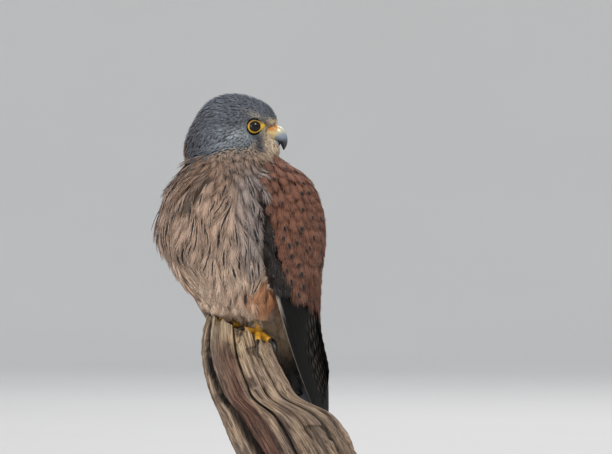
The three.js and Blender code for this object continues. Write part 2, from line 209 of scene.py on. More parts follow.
def mesh_object(name, points, faces, material):
    """A piece from drawing points and faces, where faces is an array of triangles or quads, or a list."""
    mesh = bpy.data.meshes.new(name)
    points = to_frame(points)
    if isinstance(faces, np.ndarray):
        count, sides = faces.shape
        mesh.vertices.add(len(points))
        mesh.vertices.foreach_set("co", points.astype(np.float32).ravel())
        mesh.loops.add(count * sides)
        mesh.loops.foreach_set("vertex_index", faces.astype(np.int32).ravel())
        mesh.polygons.add(count)
        mesh.polygons.foreach_set("loop_start", np.arange(0, count * sides, sides, dtype=np.int32))
        mesh.update(calc_edges=True)
    else:
        mesh.from_pydata(points.tolist(), [], faces)
    mesh.polygons.foreach_set("use_smooth", np.ones(len(mesh.polygons), bool))
    mesh.validate()
    mesh.materials.append(material)
    return new_object(name, mesh)


def paint(piece, **attributes):
    """Puts each array on the piece's points as a colour attribute."""
    for name, values in attributes.items():
        rgba = np.ones((len(values), 4), np.float32)
        rgba[:, : values.shape[1]] = values
        piece.data.attributes.new(name, "FLOAT_COLOR", "POINT").data.foreach_set("color", rgba.ravel())


def mount(piece, slot, *nodes):
    """The piece rides on the body and stands for those CAD nodes, which it hides; slot is not used."""
    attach(piece, "root")
    if nodes:
        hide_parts(*nodes)
    return piece


def ring_faces(around, rings):
    """Quads of a tube of rings."""
    i, j = np.meshgrid(np.arange(rings - 1), np.arange(around), indexing="ij")
    a = i * around + j
    b = i * around + (j + 1) % around
    return np.stack([a, b, b + around, a + around], -1).reshape(-1, 4)


def tube(name, points, material):
    """A closed piece from an array of rings of points."""
    rings, around = points.shape[:2]
    faces = ring_faces(around, rings).tolist()
    faces.append(list(range(around))[::-1])
    faces.append([(rings - 1) * around + k for k in range(around)])
    return mesh_object(name, points.reshape(-1, 3), faces, material)


def join(name, pieces):
    """One piece from several; their materials are kept."""
    bpy.ops.object.select_all(action="DESELECT")
    for piece in pieces:
        piece.select_set(True)
    bpy.context.view_layer.objects.active = pieces[0]
    bpy.ops.object.join()
    pieces[0].name = name
    pieces[0].data.name = name
    return pieces[0]


def apply_modifiers(piece):
    bpy.context.view_layer.update()
    seen = piece.evaluated_get(bpy.context.evaluated_depsgraph_get())
    mesh = bpy.data.meshes.new_from_object(seen)
    piece.modifiers.clear()
    piece.data = mesh


def read_all(items, field, each, kind=np.int32):
    """One field of all a mesh's items, as a row of each values for every item."""
    values = np.empty(len(items) * each, kind)
    items.foreach_get(field, values)
    return values.reshape(-1, each)


def mesh_points(mesh):
    return read_all(mesh.vertices, "co", 3, np.float32).astype(float)


def mesh_triangles(mesh):
    mesh.calc_loop_triangles()
    return read_all(mesh.loop_triangles, "vertices", 3)


def set_points(mesh, points):
    mesh.vertices.foreach_set("co", points.astype(np.float32).ravel())
    mesh.update()


# Shader building


def add_node(tree, kind, **settings):
    node = tree.nodes.new(kind)
    for key, value in settings.items():
        if key in node.inputs:
            node.inputs[key].default_value = value
        else:
            setattr(node, key, value)
    return node


def feed(tree, socket, value):
    """Links another node's output to the socket, or sets a plain number or colour on it."""
    if isinstance(value, bpy.types.NodeSocket):
        tree.links.new(value, socket)
    else:
        socket.default_value = value if np.ndim(value) == 0 else (*value, 1.0)[:4]


def worked_out(tree, operation, *values):
    """The result of one sum on sockets and plain numbers."""
    node = add_node(tree, "ShaderNodeMath", operation=operation)
    for socket, value in zip(node.inputs, values):
        feed(tree, socket, value)
    return node.outputs[0]


def mix_colour(tree, factor, a, b, blend="MIX"):
    node = tree.nodes.new("ShaderNodeMix")
    node.data_type = "RGBA"
    node.blend_type = blend
    node.clamp_factor = True
    for place, value in ((0, factor), (6, a), (7, b)):
        feed(tree, node.inputs[place], value)
    return node.outputs[2]


def map_range(tree, value, low, high, to_low=0.0, to_high=1.0):
    node = add_node(tree, "ShaderNodeMapRange", interpolation_type="SMOOTHSTEP")
    for socket, given in zip(node.inputs, (value, low, high, to_low, to_high)):
        feed(tree, socket, given)
    return node.outputs[0]


def new_group(name, takes, gives):
    """A shader group with named sockets: takes and gives are {name: "Float" | "Color" | "Vector"}."""
    group = bpy.data.node_groups.new(name, "ShaderNodeTree")
    for way, sockets in (("INPUT", takes), ("OUTPUT", gives)):
        for socket, kind in sockets.items():
            group.interface.new_socket(socket, in_out=way, socket_type="NodeSocket" + kind)
    return group, group.nodes.new("NodeGroupInput").outputs, group.nodes.new("NodeGroupOutput").inputs


def place_group(tree, group, **values):
    node = tree.nodes.new("ShaderNodeGroup")
    node.node_tree = group
    for key, value in values.items():
        feed(tree, node.inputs[key.capitalize()], value)
    return node


def new_material(name, roughness, **sockets):
    """A material with one Principled shader; sockets sets its plain values by name."""
    material = bpy.data.materials.new(name)
    material.use_nodes = True
    tree = material.node_tree
    shader = tree.nodes["Principled BSDF"]
    shader.inputs["Roughness"].default_value = roughness
    for key, value in sockets.items():
        shader.inputs[key.replace("_", " ")].default_value = value
    return material, tree, shader


def painted(tree, name):
    return add_node(tree, "ShaderNodeAttribute", attribute_name=name)


def parts_of(tree, whole, kind):
    """The three parts of a colour (kind is Color) or of a vector (kind is XYZ)."""
    node = tree.nodes.new("ShaderNodeSeparate" + kind)
    tree.links.new(whole, node.inputs[0])
    return node.outputs


def noise_of(tree, scale, detail, roughness=0.55, vector=None):
    """Noise over the object's own coordinates, or over those that are given."""
    node = add_node(tree, "ShaderNodeTexNoise", Scale=scale, Detail=detail, Roughness=roughness)
    source = vector or add_node(tree, "ShaderNodeTexCoord").outputs["Object"]
    tree.links.new(source, node.inputs["Vector"])
    return node.outputs["Fac"]


def set_bump(tree, shader, height, strength, distance):
    node = add_node(tree, "ShaderNodeBump", Strength=strength, Distance=distance)
    tree.links.new(height, node.inputs["Height"])
    tree.links.new(node.outputs["Normal"], shader.inputs["Normal"])


def barb_group():
    """Fine barbs of a feather from its own coordinates, as a shade of the colour and a height."""
    group, given, made = new_group(
        "feather barbs",
        {"Vane": "Vector", "Barbs": "Float", "Slant": "Float", "Strength": "Float"},
        {"Shade": "Float", "Height": "Float"},
    )
    along, across, feather = parts_of(group, given["Vane"], "XYZ")
    aside = worked_out(group, "ABSOLUTE", across)
    back = worked_out(group, "MULTIPLY", given["Slant"], -1.0)
    swept = worked_out(group, "MULTIPLY_ADD", aside, back, along)
    wave = worked_out(group, "SINE", worked_out(group, "MULTIPLY", swept, given["Barbs"]))
    clump = add_node(group, "ShaderNodeTexNoise", Scale=1.0, Detail=2.0)
    spread = group.nodes.new("ShaderNodeCombineXYZ")
    clumps = worked_out(group, "MULTIPLY", given["Barbs"], 0.22)
    for place, (value, factor) in enumerate(((swept, clumps), (across, 1.5), (feather, 57.0))):
        group.links.new(worked_out(group, "MULTIPLY", value, factor), spread.inputs[place])
    group.links.new(spread.outputs[0], clump.inputs["Vector"])
    height = worked_out(group, "MULTIPLY_ADD", wave, 0.25, clump.outputs["Fac"])
    group.links.new(height, made["Height"])
    dark = map_range(group, height, 0.15, 0.75, 1.0, 0.0)
    group.links.new(worked_out(group, "MULTIPLY", dark, given["Strength"]), made["Shade"])
    return group


def mark_group():
    """The dark mark along a feather's shaft: from Start to End of its length, Width wide in the middle."""
    group, given, made = new_group(
        "shaft mark",
        {"Vane": "Vector", "Start": "Float", "End": "Float", "Width": "Float"},
        {"Mask": "Float"},
    )
    along, across, _ = parts_of(group, given["Vane"], "XYZ")
    span = worked_out(group, "MAXIMUM", worked_out(group, "SUBTRACT", given["End"], given["Start"]), 0.01)
    place = worked_out(group, "DIVIDE", worked_out(group, "SUBTRACT", along, given["Start"]), span)
    off = worked_out(group, "MULTIPLY_ADD", place, 2.0, -1.0)
    fall = worked_out(group, "SUBTRACT", 1.0, worked_out(group, "MULTIPLY", off, off))
    taper = worked_out(group, "SQRT", worked_out(group, "MAXIMUM", fall, 0.0))
    wobble = add_node(group, "ShaderNodeTexNoise", Scale=9.0, Detail=2.0)
    group.links.new(given["Vane"], wobble.inputs["Vector"])
    ragged = worked_out(group, "MULTIPLY_ADD", wobble.outputs["Fac"], 0.9, 0.55)
    reach = worked_out(group, "MULTIPLY", worked_out(group, "MULTIPLY", given["Width"], taper), ragged)
    inside = worked_out(group, "SUBTRACT", reach, worked_out(group, "ABSOLUTE", across))
    group.links.new(map_range(group, inside, -0.02, 0.07), made["Mask"])
    return group


BARBS = barb_group()
SHAFT_MARK = mark_group()
MARK_COLOUR = linear((26, 21, 20))


def plumage_material(name, barbs, slant, strength, roughness, sheen, specular=0.25):
    """Feathers whose ground colour is painted on the points, with shaft marks and barbs drawn over it."""
    material, tree, shader = new_material(name, roughness, Sheen_Weight=sheen, Sheen_Roughness=0.5)
    shader.inputs["Specular IOR Level"].default_value = specular
    tint = painted(tree, "tint").outputs["Color"]
    vane = painted(tree, "vane").outputs["Vector"]
    mark = parts_of(tree, painted(tree, "mark").outputs["Color"], "Color")
    shaft = place_group(tree, SHAFT_MARK, vane=vane, start=mark[0], end=mark[1], width=mark[2])
    grain = place_group(tree, BARBS, vane=vane, barbs=barbs, slant=slant, strength=strength)
    ground = mix_colour(tree, grain.outputs["Shade"], tint, (0.25, 0.25, 0.25), "MULTIPLY")
    colour = mix_colour(tree, shaft.outputs["Mask"], ground, tuple(MARK_COLOUR))
    tree.links.new(colour, shader.inputs["Base Color"])
    set_bump(tree, shader, grain.outputs["Height"], 0.35, 0.0003)
    return material


SOFT_PLUMAGE = plumage_material(
    "soft_plumage", barbs=60.0, slant=0.5, strength=0.45, roughness=0.75, sheen=0.25
)
VANED_PLUMAGE = plumage_material(
    "vaned_plumage", barbs=95.0, slant=0.35, strength=0.35, roughness=0.62, sheen=0.12
)
FLIGHT_PLUMAGE = plumage_material(
    "flight_plumage", barbs=220.0, slant=0.35, strength=0.3, roughness=0.5, sheen=0.0, specular=0.1
)
HEAD_PLUMAGE = plumage_material(
    "head_plumage", barbs=20.0, slant=0.5, strength=0.35, roughness=0.7, sheen=0.2
)


# Camera, floor and light


def look_at(thing, target):
    way = Vector(target) - thing.location
    thing.rotation_euler = way.to_track_quat("-Z", "Y").to_euler()


def make_camera():
    camera = new_object("camera", bpy.data.cameras.new("camera"))
    camera.data.sensor_width = SENSOR
    camera.data.lens = SENSOR * CAMERA_DISTANCE / (PICTURE[0] * PIXEL)
    camera.data.clip_end = 40
    across, up = PICTURE_MIDDLE
    camera.location = to_frame((across, -CAMERA_DISTANCE, up))
    look_at(camera, to_frame((across, 0, up)))
    bpy.context.scene.camera = camera


# Metres from the stand to where the floor begins to turn up, and to its upright wall
FLOOR_FLAT = 3.9
FLOOR_WALL = 6.4


def make_floor():
    """A round studio floor that turns up far beyond every camera."""
    around, steps = 96, 24
    rows = [(FLOOR_FLAT, 0.0)]
    for k in range(1, steps + 1):
        turn = 0.5 * math.pi * k / steps
        reach = FLOOR_WALL - FLOOR_FLAT
        rows.append((FLOOR_FLAT + reach * math.sin(turn), reach * (1 - math.cos(turn))))
    rows.append((FLOOR_WALL, FLOOR_WALL - FLOOR_FLAT + 0.1))
    points = [(0.0, 0.0, 0.0)]
    for radius, up in rows:
        for k in range(around):
            turn = 2 * math.pi * k / around
            points.append((radius * math.cos(turn), radius * math.sin(turn), up))
    faces = [(0, 1 + k, 1 + (k + 1) % around) for k in range(around)]
    faces += [tuple(int(i) + 1 for i in quad[::-1]) for quad in ring_faces(around, len(rows))]
    material, tree, shader = new_material("studio_floor", 0.85)
    soft = noise_of(tree, 1.5, 2.0)
    shade = mix_colour(tree, soft, tuple(linear((214, 211, 205))), tuple(linear((222, 219, 214))))
    tree.links.new(shade, shader.inputs["Base Color"])
    mesh = bpy.data.meshes.new("floor")
    mesh.from_pydata(points, [], faces)
    mesh.polygons.foreach_set("use_smooth", np.ones(len(faces), bool))
    mesh.materials.append(material)
    new_object("floor", mesh)


# Soft boxes: place in metres from the stand, width, strength in watts, screen colour
LIGHTS = {
    "key": ((1.1, -1.9, 2.3), 0.9, 44.0, (255, 248, 238)),
    "fill": ((-1.9, -2.0, 0.45), 1.6, 24.0, (240, 244, 255)),
    "back": ((0.6, 2.2, 1.9), 1.5, 16.0, (250, 250, 255)),
}
BIRD_MIDDLE = 0.22
SKY = (232, 238, 248)
SKY_STRENGTH = 0.85


def make_lights():
    for name, (place, width, power, colour) in LIGHTS.items():
        light = new_object(name, bpy.data.lights.new(name, "AREA"))
        light.data.size = width
        light.data.energy = power
        light.data.color = linear(colour)
        light.location = place
        light.visible_camera = False
        look_at(light, (0, 0, BIRD_MIDDLE))
    world = bpy.data.worlds.new("sky")
    world.use_nodes = True
    sky = world.node_tree.nodes["Background"]
    sky.inputs["Color"].default_value = (*linear(SKY), 1.0)
    sky.inputs["Strength"].default_value = SKY_STRENGTH
    bpy.context.scene.world = world
    bpy.context.scene.view_settings.view_transform = "Standard"


# Random texture for points, and for placing feathers

LATTICE = chance.random(4096)


def rough(points, size, seed=0):
    """Smooth random values from 0 to 1 at points, with features of about that size in millimetres."""
    at = np.asarray(points, float) / size + 31.7 * seed
    cell = np.floor(at).astype(np.int64)
    part = at - cell
    part = part * part * (3 - 2 * part)
    total = 0.0
    for corner in range(8):
        step = np.array([corner & 1, corner >> 1 & 1, corner >> 2 & 1])
        x, y, z = np.moveaxis(cell + step, -1, 0)
        value = LATTICE[(x * 73856093 ^ y * 19349663 ^ z * 83492791) % 4096]
        total = total + value * np.prod(np.where(step, part, 1 - part), axis=-1)
    return total


def thin_out(points, spacing):
    """Indexes of points that stand at least their own spacing away from all those kept before them."""
    size = float(np.max(spacing))
    spacing = np.broadcast_to(spacing, len(points))
    cells, kept = {}, []
    around = [(a, b, c) for a in (-1, 0, 1) for b in (-1, 0, 1) for c in (-1, 0, 1)]
    keys = np.floor(points / size).astype(int).tolist()
    places = points.tolist()
    for i, (x, y, z) in enumerate(places):
        a, b, c = keys[i]
        least = spacing[i] ** 2
        for da, db, dc in around:
            near = cells.get((a + da, b + db, c + dc))
            if near and any((x - p) ** 2 + (y - q) ** 2 + (z - r) ** 2 < least for p, q, r in near):
                break
        else:
            cells.setdefault((a, b, c), []).append((x, y, z))
            kept.append(i)
    return np.array(kept, int)


# Skin: one surface over all the flesh, a coat's depth inside its solids

FLESH = ("head", "neck", "trunk", "wing_left", "wing_right", "thigh_left", "thigh_right")
SKIN_GRAIN = 1.5
SWELLING = 2.0
HEAD, NECK, TRUNK, WING_LEFT, WING_RIGHT, THIGH_LEFT, THIGH_RIGHT = range(len(FLESH))
WINGS = (WING_LEFT, WING_RIGHT)
THIGHS = (THIGH_LEFT, THIGH_RIGHT)


class Surface:
    """A mesh in drawing millimetres that can be scattered over and walked along."""

    def __init__(self, mesh):
        self.points = to_drawing(mesh_points(mesh))
        self.normals = read_all(mesh.vertex_normals, "vector", 3, np.float32).astype(float)
        self.triangles = mesh_triangles(mesh)
        self.tree = BVHTree.FromPolygons(self.points.tolist(), self.triangles.tolist())
        corners = self.points[self.triangles]
        self.areas = np.linalg.norm(
            np.cross(corners[:, 1] - corners[:, 0], corners[:, 2] - corners[:, 0]), axis=1
        )

    def nearest(self, points):
        """The closest places of the surface to points, and its smooth normals there."""
        flat = points.reshape(-1, 3)
        found = np.array([(*hit[0], hit[2]) for hit in map(self.tree.find_nearest, flat.tolist())])
        places = found[:, :3]
        near = self.triangles[found[:, 3].astype(int)]
        weight = 1 / (np.linalg.norm(self.points[near] - places[:, None], axis=-1) + 0.1)
        normals = unit((self.normals[near] * weight[..., None]).sum(1))
        return places.reshape(points.shape), normals.reshape(points.shape)

    def scatter(self, count, wanted):
        """Random places on the triangles that are wanted, evenly by area."""
        weights = self.areas * wanted
        picked = chance.choice(len(weights), count, p=weights / weights.sum())
        u, v = chance.random((2, count))
        u, v = np.where(u + v > 1, 1 - u, u), np.where(u + v > 1, 1 - v, v)
        corners = self.triangles[picked]
        a, b, c = (self.points[corners[:, k]] for k in range(3))
        places = a + u[:, None] * (b - a) + v[:, None] * (c - a)
        return places, unit(self.normals[corners].mean(1))


def flesh_copies():
    pieces = []
    for node in FLESH:
        built = bmesh.new()
        built.from_mesh(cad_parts[node].data)
        bmesh.ops.remove_doubles(built, verts=built.verts, dist=0.01 * MM)
        built.normal_update()
        for vertex in built.verts:
            vertex.co += vertex.normal * SWELLING * MM
        mesh = bpy.data.meshes.new(node + "_flesh")
        built.to_mesh(mesh)
        built.free()
        pieces.append(new_object(node + "_flesh", mesh))
    return pieces


def node_trees():
    trees = []
    for node in FLESH:
        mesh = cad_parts[node].data
        points, faces = to_drawing(mesh_points(mesh)), mesh_triangles(mesh)
        trees.append(BVHTree.FromPolygons(points.tolist(), faces.tolist()))
    return trees


def part_of(points):
    """Which part of the flesh each point lies on, as its place in FLESH."""
    labels = np.zeros(len(points), int)
    for i, place in enumerate(points.tolist()):
        best = 1000.0
        for label, tree in enumerate(NODE_TREES):
            hit = tree.find_nearest(place, best)
            if hit[0] is not None:
                best = hit[3]
                labels[i] = label
    return labels


RING_EDGE = 5.3


def eye_distance(points):
    """Distance from the nearer eye's middle, stretched so that its bare ring ends at RING_EDGE."""
    ahead, left, up = in_head(points)
    forward = ahead - EYE[0]
    rise = up - EYE[2] - 1.3 * ramp(forward, 0, 8)
    away = np.hypot(forward / np.where(forward > 0, 1.55, 1.0), rise)
    return np.where(np.abs(left) > 5, away, 99.0)


def coat_depth(points, parts):
    """Thickness of the coat over the skin."""
    ahead, _, up = in_head(points)
    over_head = 2.2 - 1.2 * ramp(ahead, 18, 30) - 0.9 * ramp(eye_distance(points), 12, 6)
    body = 3.0 + 1.8 * ramp(up, 284, 262)
    depth = np.where(parts == HEAD, over_head, body)
    depth = np.where(np.isin(parts, WINGS), 2.4, depth)
    return np.where(np.isin(parts, THIGHS), 3.2, depth)


def evened(values, edges, times):
    """Values of mesh points, each drawn towards the mean of its neighbours."""
    count = np.bincount(edges.ravel(), minlength=len(values)).astype(float)
    for _ in range(times):
        total = np.zeros_like(values)
        np.add.at(total, edges[:, 0], values[edges[:, 1]])
        np.add.at(total, edges[:, 1], values[edges[:, 0]])
        shape = (-1,) + (1,) * (values.ndim - 1)
        values = 0.4 * values + 0.6 * total / np.maximum(count, 1).reshape(shape)
    return values


def only_outer_shell(mesh):
    """Deletes closed pockets that the remeshing leaves inside."""
    built = bmesh.new()
    built.from_mesh(mesh)
    left = set(built.verts)
    shells = []
    while left:
        start = left.pop()
        shell, edge = [start], [start]
        while edge:
            for link in edge.pop().link_edges:
                for other in link.verts:
                    if other in left:
                        left.discard(other)
                        shell.append(other)
                        edge.append(other)
        shells.append(shell)
    shells.sort(key=len)
    for shell in shells[:-1]:
        bmesh.ops.delete(built, geom=shell, context="VERTS")
    built.to_mesh(mesh)
    built.free()


def shaped_face(points):
    """The face narrows to the cere between the forehead and the gape, and the chin is puffed out below."""
    ahead, left, up = in_head(points)
    share = ramp(ahead, 26, 29.5) * ramp(up, 290.5, 293) * ramp(up, 305.5, 303)
    narrow = np.sign(left) * np.minimum(np.abs(left), 4.8)
    left = mixed_values(left, narrow, share)
    ahead = mixed_values(ahead, np.minimum(ahead, 31.0), share)
    ahead = ahead + 3.8 * bump(up, 285.5, 4.5) * ramp(ahead, 22, 32)
    return head(ahead, left, up)


def make_skin():
    skin = join("skin", flesh_copies())
    grain = skin.modifiers.new("grain", "REMESH")
    grain.mode = "VOXEL"
    grain.voxel_size = SKIN_GRAIN * MM
    apply_modifiers(skin)
    only_outer_shell(skin.data)
    mesh = skin.data
    edges = read_all(mesh.edges, "vertices", 2)
    set_points(mesh, evened(mesh_points(mesh), edges, 5))
    skin_surface = Surface(mesh)
    parts = part_of(skin_surface.points)
    depth = SWELLING + coat_depth(skin_surface.points, parts)
    inward = -skin_surface.normals
    starts = skin_surface.points + 0.3 * inward
    thick = np.full(len(starts), 99.0)
    for i, (start, way) in enumerate(zip(starts.tolist(), inward.tolist())):
        hit = skin_surface.tree.ray_cast(start, way, 30.0)
        if hit[0] is not None:
            thick[i] = hit[3]
    depth = evened(np.minimum(depth, 0.36 * thick), edges, 8)
    sunk = skin_surface.points + inward * depth[:, None]
    sunk = shaped_face(evened(sunk, edges, 4))
    set_points(mesh, to_frame(evened(sunk, edges, 1)))
    return skin, parts


# Markings: the ground colour of the coat anywhere on the bird, shared by skin and feathers

CROWN = linear((116, 121, 130))
NAPE = linear((108, 109, 116))
CHEEK = linear((150, 158, 165))
PALE_CHEEK = linear((176, 184, 190))
BROW = linear((178, 171, 160))
# Dark line behind the eye, also used for painted shade over the ear and round the eye ring
DARK_LINE_AND_SHADE = linear((62, 60, 62))
LORES = linear((188, 172, 144))
FOREHEAD = linear((206, 186, 156))
MOUSTACHE = linear((76, 81, 88))
NAPE_RUFOUS = linear((134, 90, 72))
CHIN = linear((222, 202, 175))
THROAT = linear((198, 177, 156))
UPPER_BREAST = linear((163, 130, 107))
BREAST = linear((204, 172, 148))
BELLY = linear((250, 218, 190))
FLANK_GREY = linear((164, 148, 140))
CHESTNUT = linear((142, 93, 70))
CHESTNUT_DARK = linear((98, 63, 49))
RUMP = linear((112, 118, 128))
THIGH = linear((232, 164, 116))
VENT = linear((232, 204, 172))
# Painted shade under the tail, not the feathers' own colour
UNDER_TAIL_SHADE = linear((68, 56, 44))
# Black of the dark wing feathers, also used as painted shade in the strip down the wing's front
BLACK_AND_SHADE = linear((18, 16, 16))

# Lower edge of the grey hood: rows of distance ahead of the head's pivot and height
HOOD_EDGE = smooth_line(
    [
        [-37, 279],
        [-31, 279],
        [-27, 270],
        [-22.5, 276],
        [-12, 277.5],
        [-4, 281.5],
        [8, 284.5],
        [16, 286.5],
        [20, 291],
        [27, 299],
    ]
)
# Where the short tufts of the head give way to the long soft feathers of the body
TUFT_EDGE = smooth_line([[-37, 279], [-19, 276], [-4, 281], [8, 283], [20, 282], [36, 280]])
# Where the chestnut back begins, as a bearing from the breast in degrees, at each height
BACK_EDGE_LEFT = smooth_line([[150, 108], [200, 104], [262, 94], [268, 98], [281, 125], [290, 150]])
BACK_EDGE_RIGHT = smooth_line(
    [[150, 108], [200, 104], [250, 92], [262, 80], [272, 66], [280, 52], [290, 42]]
)


def back_edge(left, up):
    """The bearing of the back's edge on either side of the bird."""
    return np.where(left > 0, BACK_EDGE_LEFT(up), BACK_EDGE_RIGHT(up))


def bearing_of(points):
    """How far round from the breast each point lies, in degrees, and which side it is on."""
    forward, left, up = in_bird(points)
    middle = 12 - 14 * ramp(up, 215, 165)
    return np.degrees(np.arctan2(np.abs(left), forward - middle)), left


# Painted shadow line where the breast feathers part: two places given by X and height
PARTING_SHADOW = ((-22.0, 262.0), (-37.0, 241.5))


def parting_shadow(points):
    """Painted shadow in the groove where the breast feathers part, between two places given by X and
    height.
    """
    start, end = np.array(PARTING_SHADOW)
    off = points[..., [0, 2]] - start
    way = end - start
    share = np.clip((off @ way) / (way @ way), 0, 1)
    away = np.linalg.norm(off - share[..., None] * way, axis=-1)
    return np.exp(-((away / 3.0) ** 2)) * (points[..., 1] < 0)


def head_colour(points):
    ahead, left, up = in_head(points)
    colour = mixed(CROWN, NAPE, ramp(ahead, -8, -28))
    colour = mixed(colour, CHEEK, ramp(ahead, -26, -2) * ramp(up, 303, 297) * 0.9)
    colour = mixed(colour, PALE_CHEEK, bump(ahead, 9, 8.5) * bump(up, 295, 5.0))
    colour = mixed(colour, NAPE_RUFOUS, ramp(ahead, -29, -32.5) * bump(up, 283, 7))
    side = ramp(np.abs(left), 4, 9)
    brow_height = 310.2 - 0.32 * (ahead - 20)
    colour = mixed(colour, BROW, side * bump(ahead, 20.5, 7) * bump(up - brow_height, 0, 1.9))
    colour = mixed(colour, FOREHEAD, ramp(ahead, 27, 31) * ramp(up, 299, 302) * ramp(up, 309.5, 306.5))
    colour = mixed(colour, DARK_LINE_AND_SHADE, 0.5 * side * bump(ahead, 8.6, 4.0) * bump(up, 304.2, 1.7))
    # Painted shade over the ear coverts, low behind the cheek
    colour = mixed(colour, DARK_LINE_AND_SHADE, 0.85 * side * bump(ahead, -2, 2.2) * bump(up, 292.5, 1.8))
    # Painted shade round the bare eye ring, strongest at its top under the brow
    rim = bump(eye_distance(points), RING_EDGE + 0.5, 0.8) * (0.15 + 0.6 * ramp(up, 301, 306))
    return mixed(colour, DARK_LINE_AND_SHADE, rim)


def face_marks(points, colour):
    """Pale lores and chin, and the dark moustache, over the hood and throat alike."""
    ahead, left, up = in_head(points)
    side = ramp(np.abs(left), 4, 9)
    colour = mixed(colour, LORES, bump(ahead, 28.5, 4.6) * bump(up, 299, 5.2))
    chin = ramp(ahead, 25, 28.5) * ramp(up, 295.5, 292)
    throat = ramp(ahead, 12, 20) * ramp(np.abs(left), 9, 4) * ramp(up, 297, 290)
    colour = mixed(colour, CHIN, np.maximum(chin, 0.8 * throat) * ramp(up, 274, 282))
    middle = 22.8 + 0.16 * (290 - up)
    moustache = side * bump(ahead, middle, 3.5) * ramp(up, 279.5, 284) * ramp(up, 298, 294.5)
    return mixed(colour, MOUSTACHE, moustache)


def body_colour(points):
    bearing, left = bearing_of(points)
    up = points[..., 2]
    ahead = in_head(points)[0]
    colour = mixed(UPPER_BREAST, THROAT, ramp(up, 268, 286))
    colour = mixed(colour, PALE_CHEEK, 0.8 * bump(ahead, 13, 7) * bump(up, 287, 5) * rough(points, 2, 9))
    colour = mixed(BREAST, colour, ramp(up, 236, 262))
    colour = mixed(BELLY, colour, ramp(up, 188, 214))
    colour = mixed(colour, FLANK_GREY, ramp(bearing, 34, 60) * ramp(up, 184, 205) * ramp(up, 278, 262))
    thigh_edge = up + 6 * (rough(points, 9, 8) - 0.5)
    colour = mixed(colour, THIGH, ramp(np.abs(left), 18, 25) * ramp(thigh_edge, 188, 178))
    colour = mixed(colour, VENT, ramp(up, 164, 154))
    # Painted shade under the tail, between tail and branch: the lowest coat darkens below a height of 146
    colour = mixed(colour, UNDER_TAIL_SHADE, ramp(up, 146, 126))
    # Painted shadow along the parting of the breast feathers
    colour = colour * (1 - 0.8 * parting_shadow(points))[..., None]
    edge = back_edge(left, up)
    wander = 5 * (rough(points, 7, 3) - 0.5)
    back = mixed(CHESTNUT, CHESTNUT_DARK, rough(points, 16, 5) * 0.6)
    back = mixed(back, RUMP, ramp(up, 200, 188))
    upper_side = ramp(bearing + wander, edge - 2.5, edge + 2.5)
    along, _, over = in_tail(points)
    upper_side = mixed_values(upper_side, ramp(over + 0.5 * wander, -3, 1), ramp(along, -14, 6))
    return mixed(colour, back, upper_side)


# The black strip down the wing's front, partly dark alula and primary coverts and partly painted shade
# between breast and wing, and the lower edge of its chestnut, on the left wing: rows of height with the
# strip's middle and half width in X, and rows of X with the edge's height
WING_STRIP_AND_SHADE = smooth_table(
    [[190, 28.5, 1.6], [211, 25, 2.0], [225, 22.2, 2.0], [240, 19.3, 2.4], [250, 17.5, 1.2]]
)
WING_HEM = smooth_line([[18, 205], [24, 201], [37, 187], [43, 175], [54, 164], [61, 152], [70, 144]])


def wing_colour(points):
    forward, left, up = in_bird(points)
    across = bird(forward, np.abs(left), up)[..., 0]
    wander = 2.0 * (rough(points, 4, 1) - 0.5)
    colour = mixed(CHESTNUT, CHESTNUT_DARK, rough(points, 16, 5) * 0.6)
    middle, reach = np.moveaxis(WING_STRIP_AND_SHADE(up), -1, 0)
    beside = across - middle + 0.5 * wander - reach
    # Painted shade between breast and wing over the dark alula: the strip darkens towards black
    strip_and_shade = ramp(beside, 1.0, -0.6) * ramp(up, 252, 247) * (forward > 0)
    low = ramp(up - WING_HEM(across) + 2 * wander, 1.0, -1.0)
    return mixed(colour, BLACK_AND_SHADE, 0.95 * np.maximum(strip_and_shade, low))


def ground_colour(points, parts):
    """The coat's colour at drawing points that lie on the given parts of the flesh."""
    parts = np.broadcast_to(parts, points.shape[:-1])
    ahead, _, up = in_head(points)
    wander = 3.4 * (rough(points, 5, 1) - 0.5) + 3.6 * (rough(points, 1.8, 4) - 0.5)
    hood = ramp(up - HOOD_EDGE(ahead) + wander, -1.0, 1.0)
    colour = face_marks(points, mixed(body_colour(points), head_colour(points), hood))
    colour = mixed(colour, wing_colour(points), np.isin(parts, WINGS))
    thigh = mixed(mixed(THIGH, BELLY, ramp(in_bird(points)[1], 18, 2)), VENT, ramp(up, 168, 156))
    colour = mixed(colour, thigh, np.isin(parts, THIGHS))
    return colour * (0.9 + 0.2 * rough(points, 11, 7))[..., None]


# Lie of the coat

NECK_BASE = np.array([-5.0, -6.0, 287.0])
VENT_PLACE = bird(-24, 0, 140)
DOWN = np.array([0.0, 0.0, -1.0])


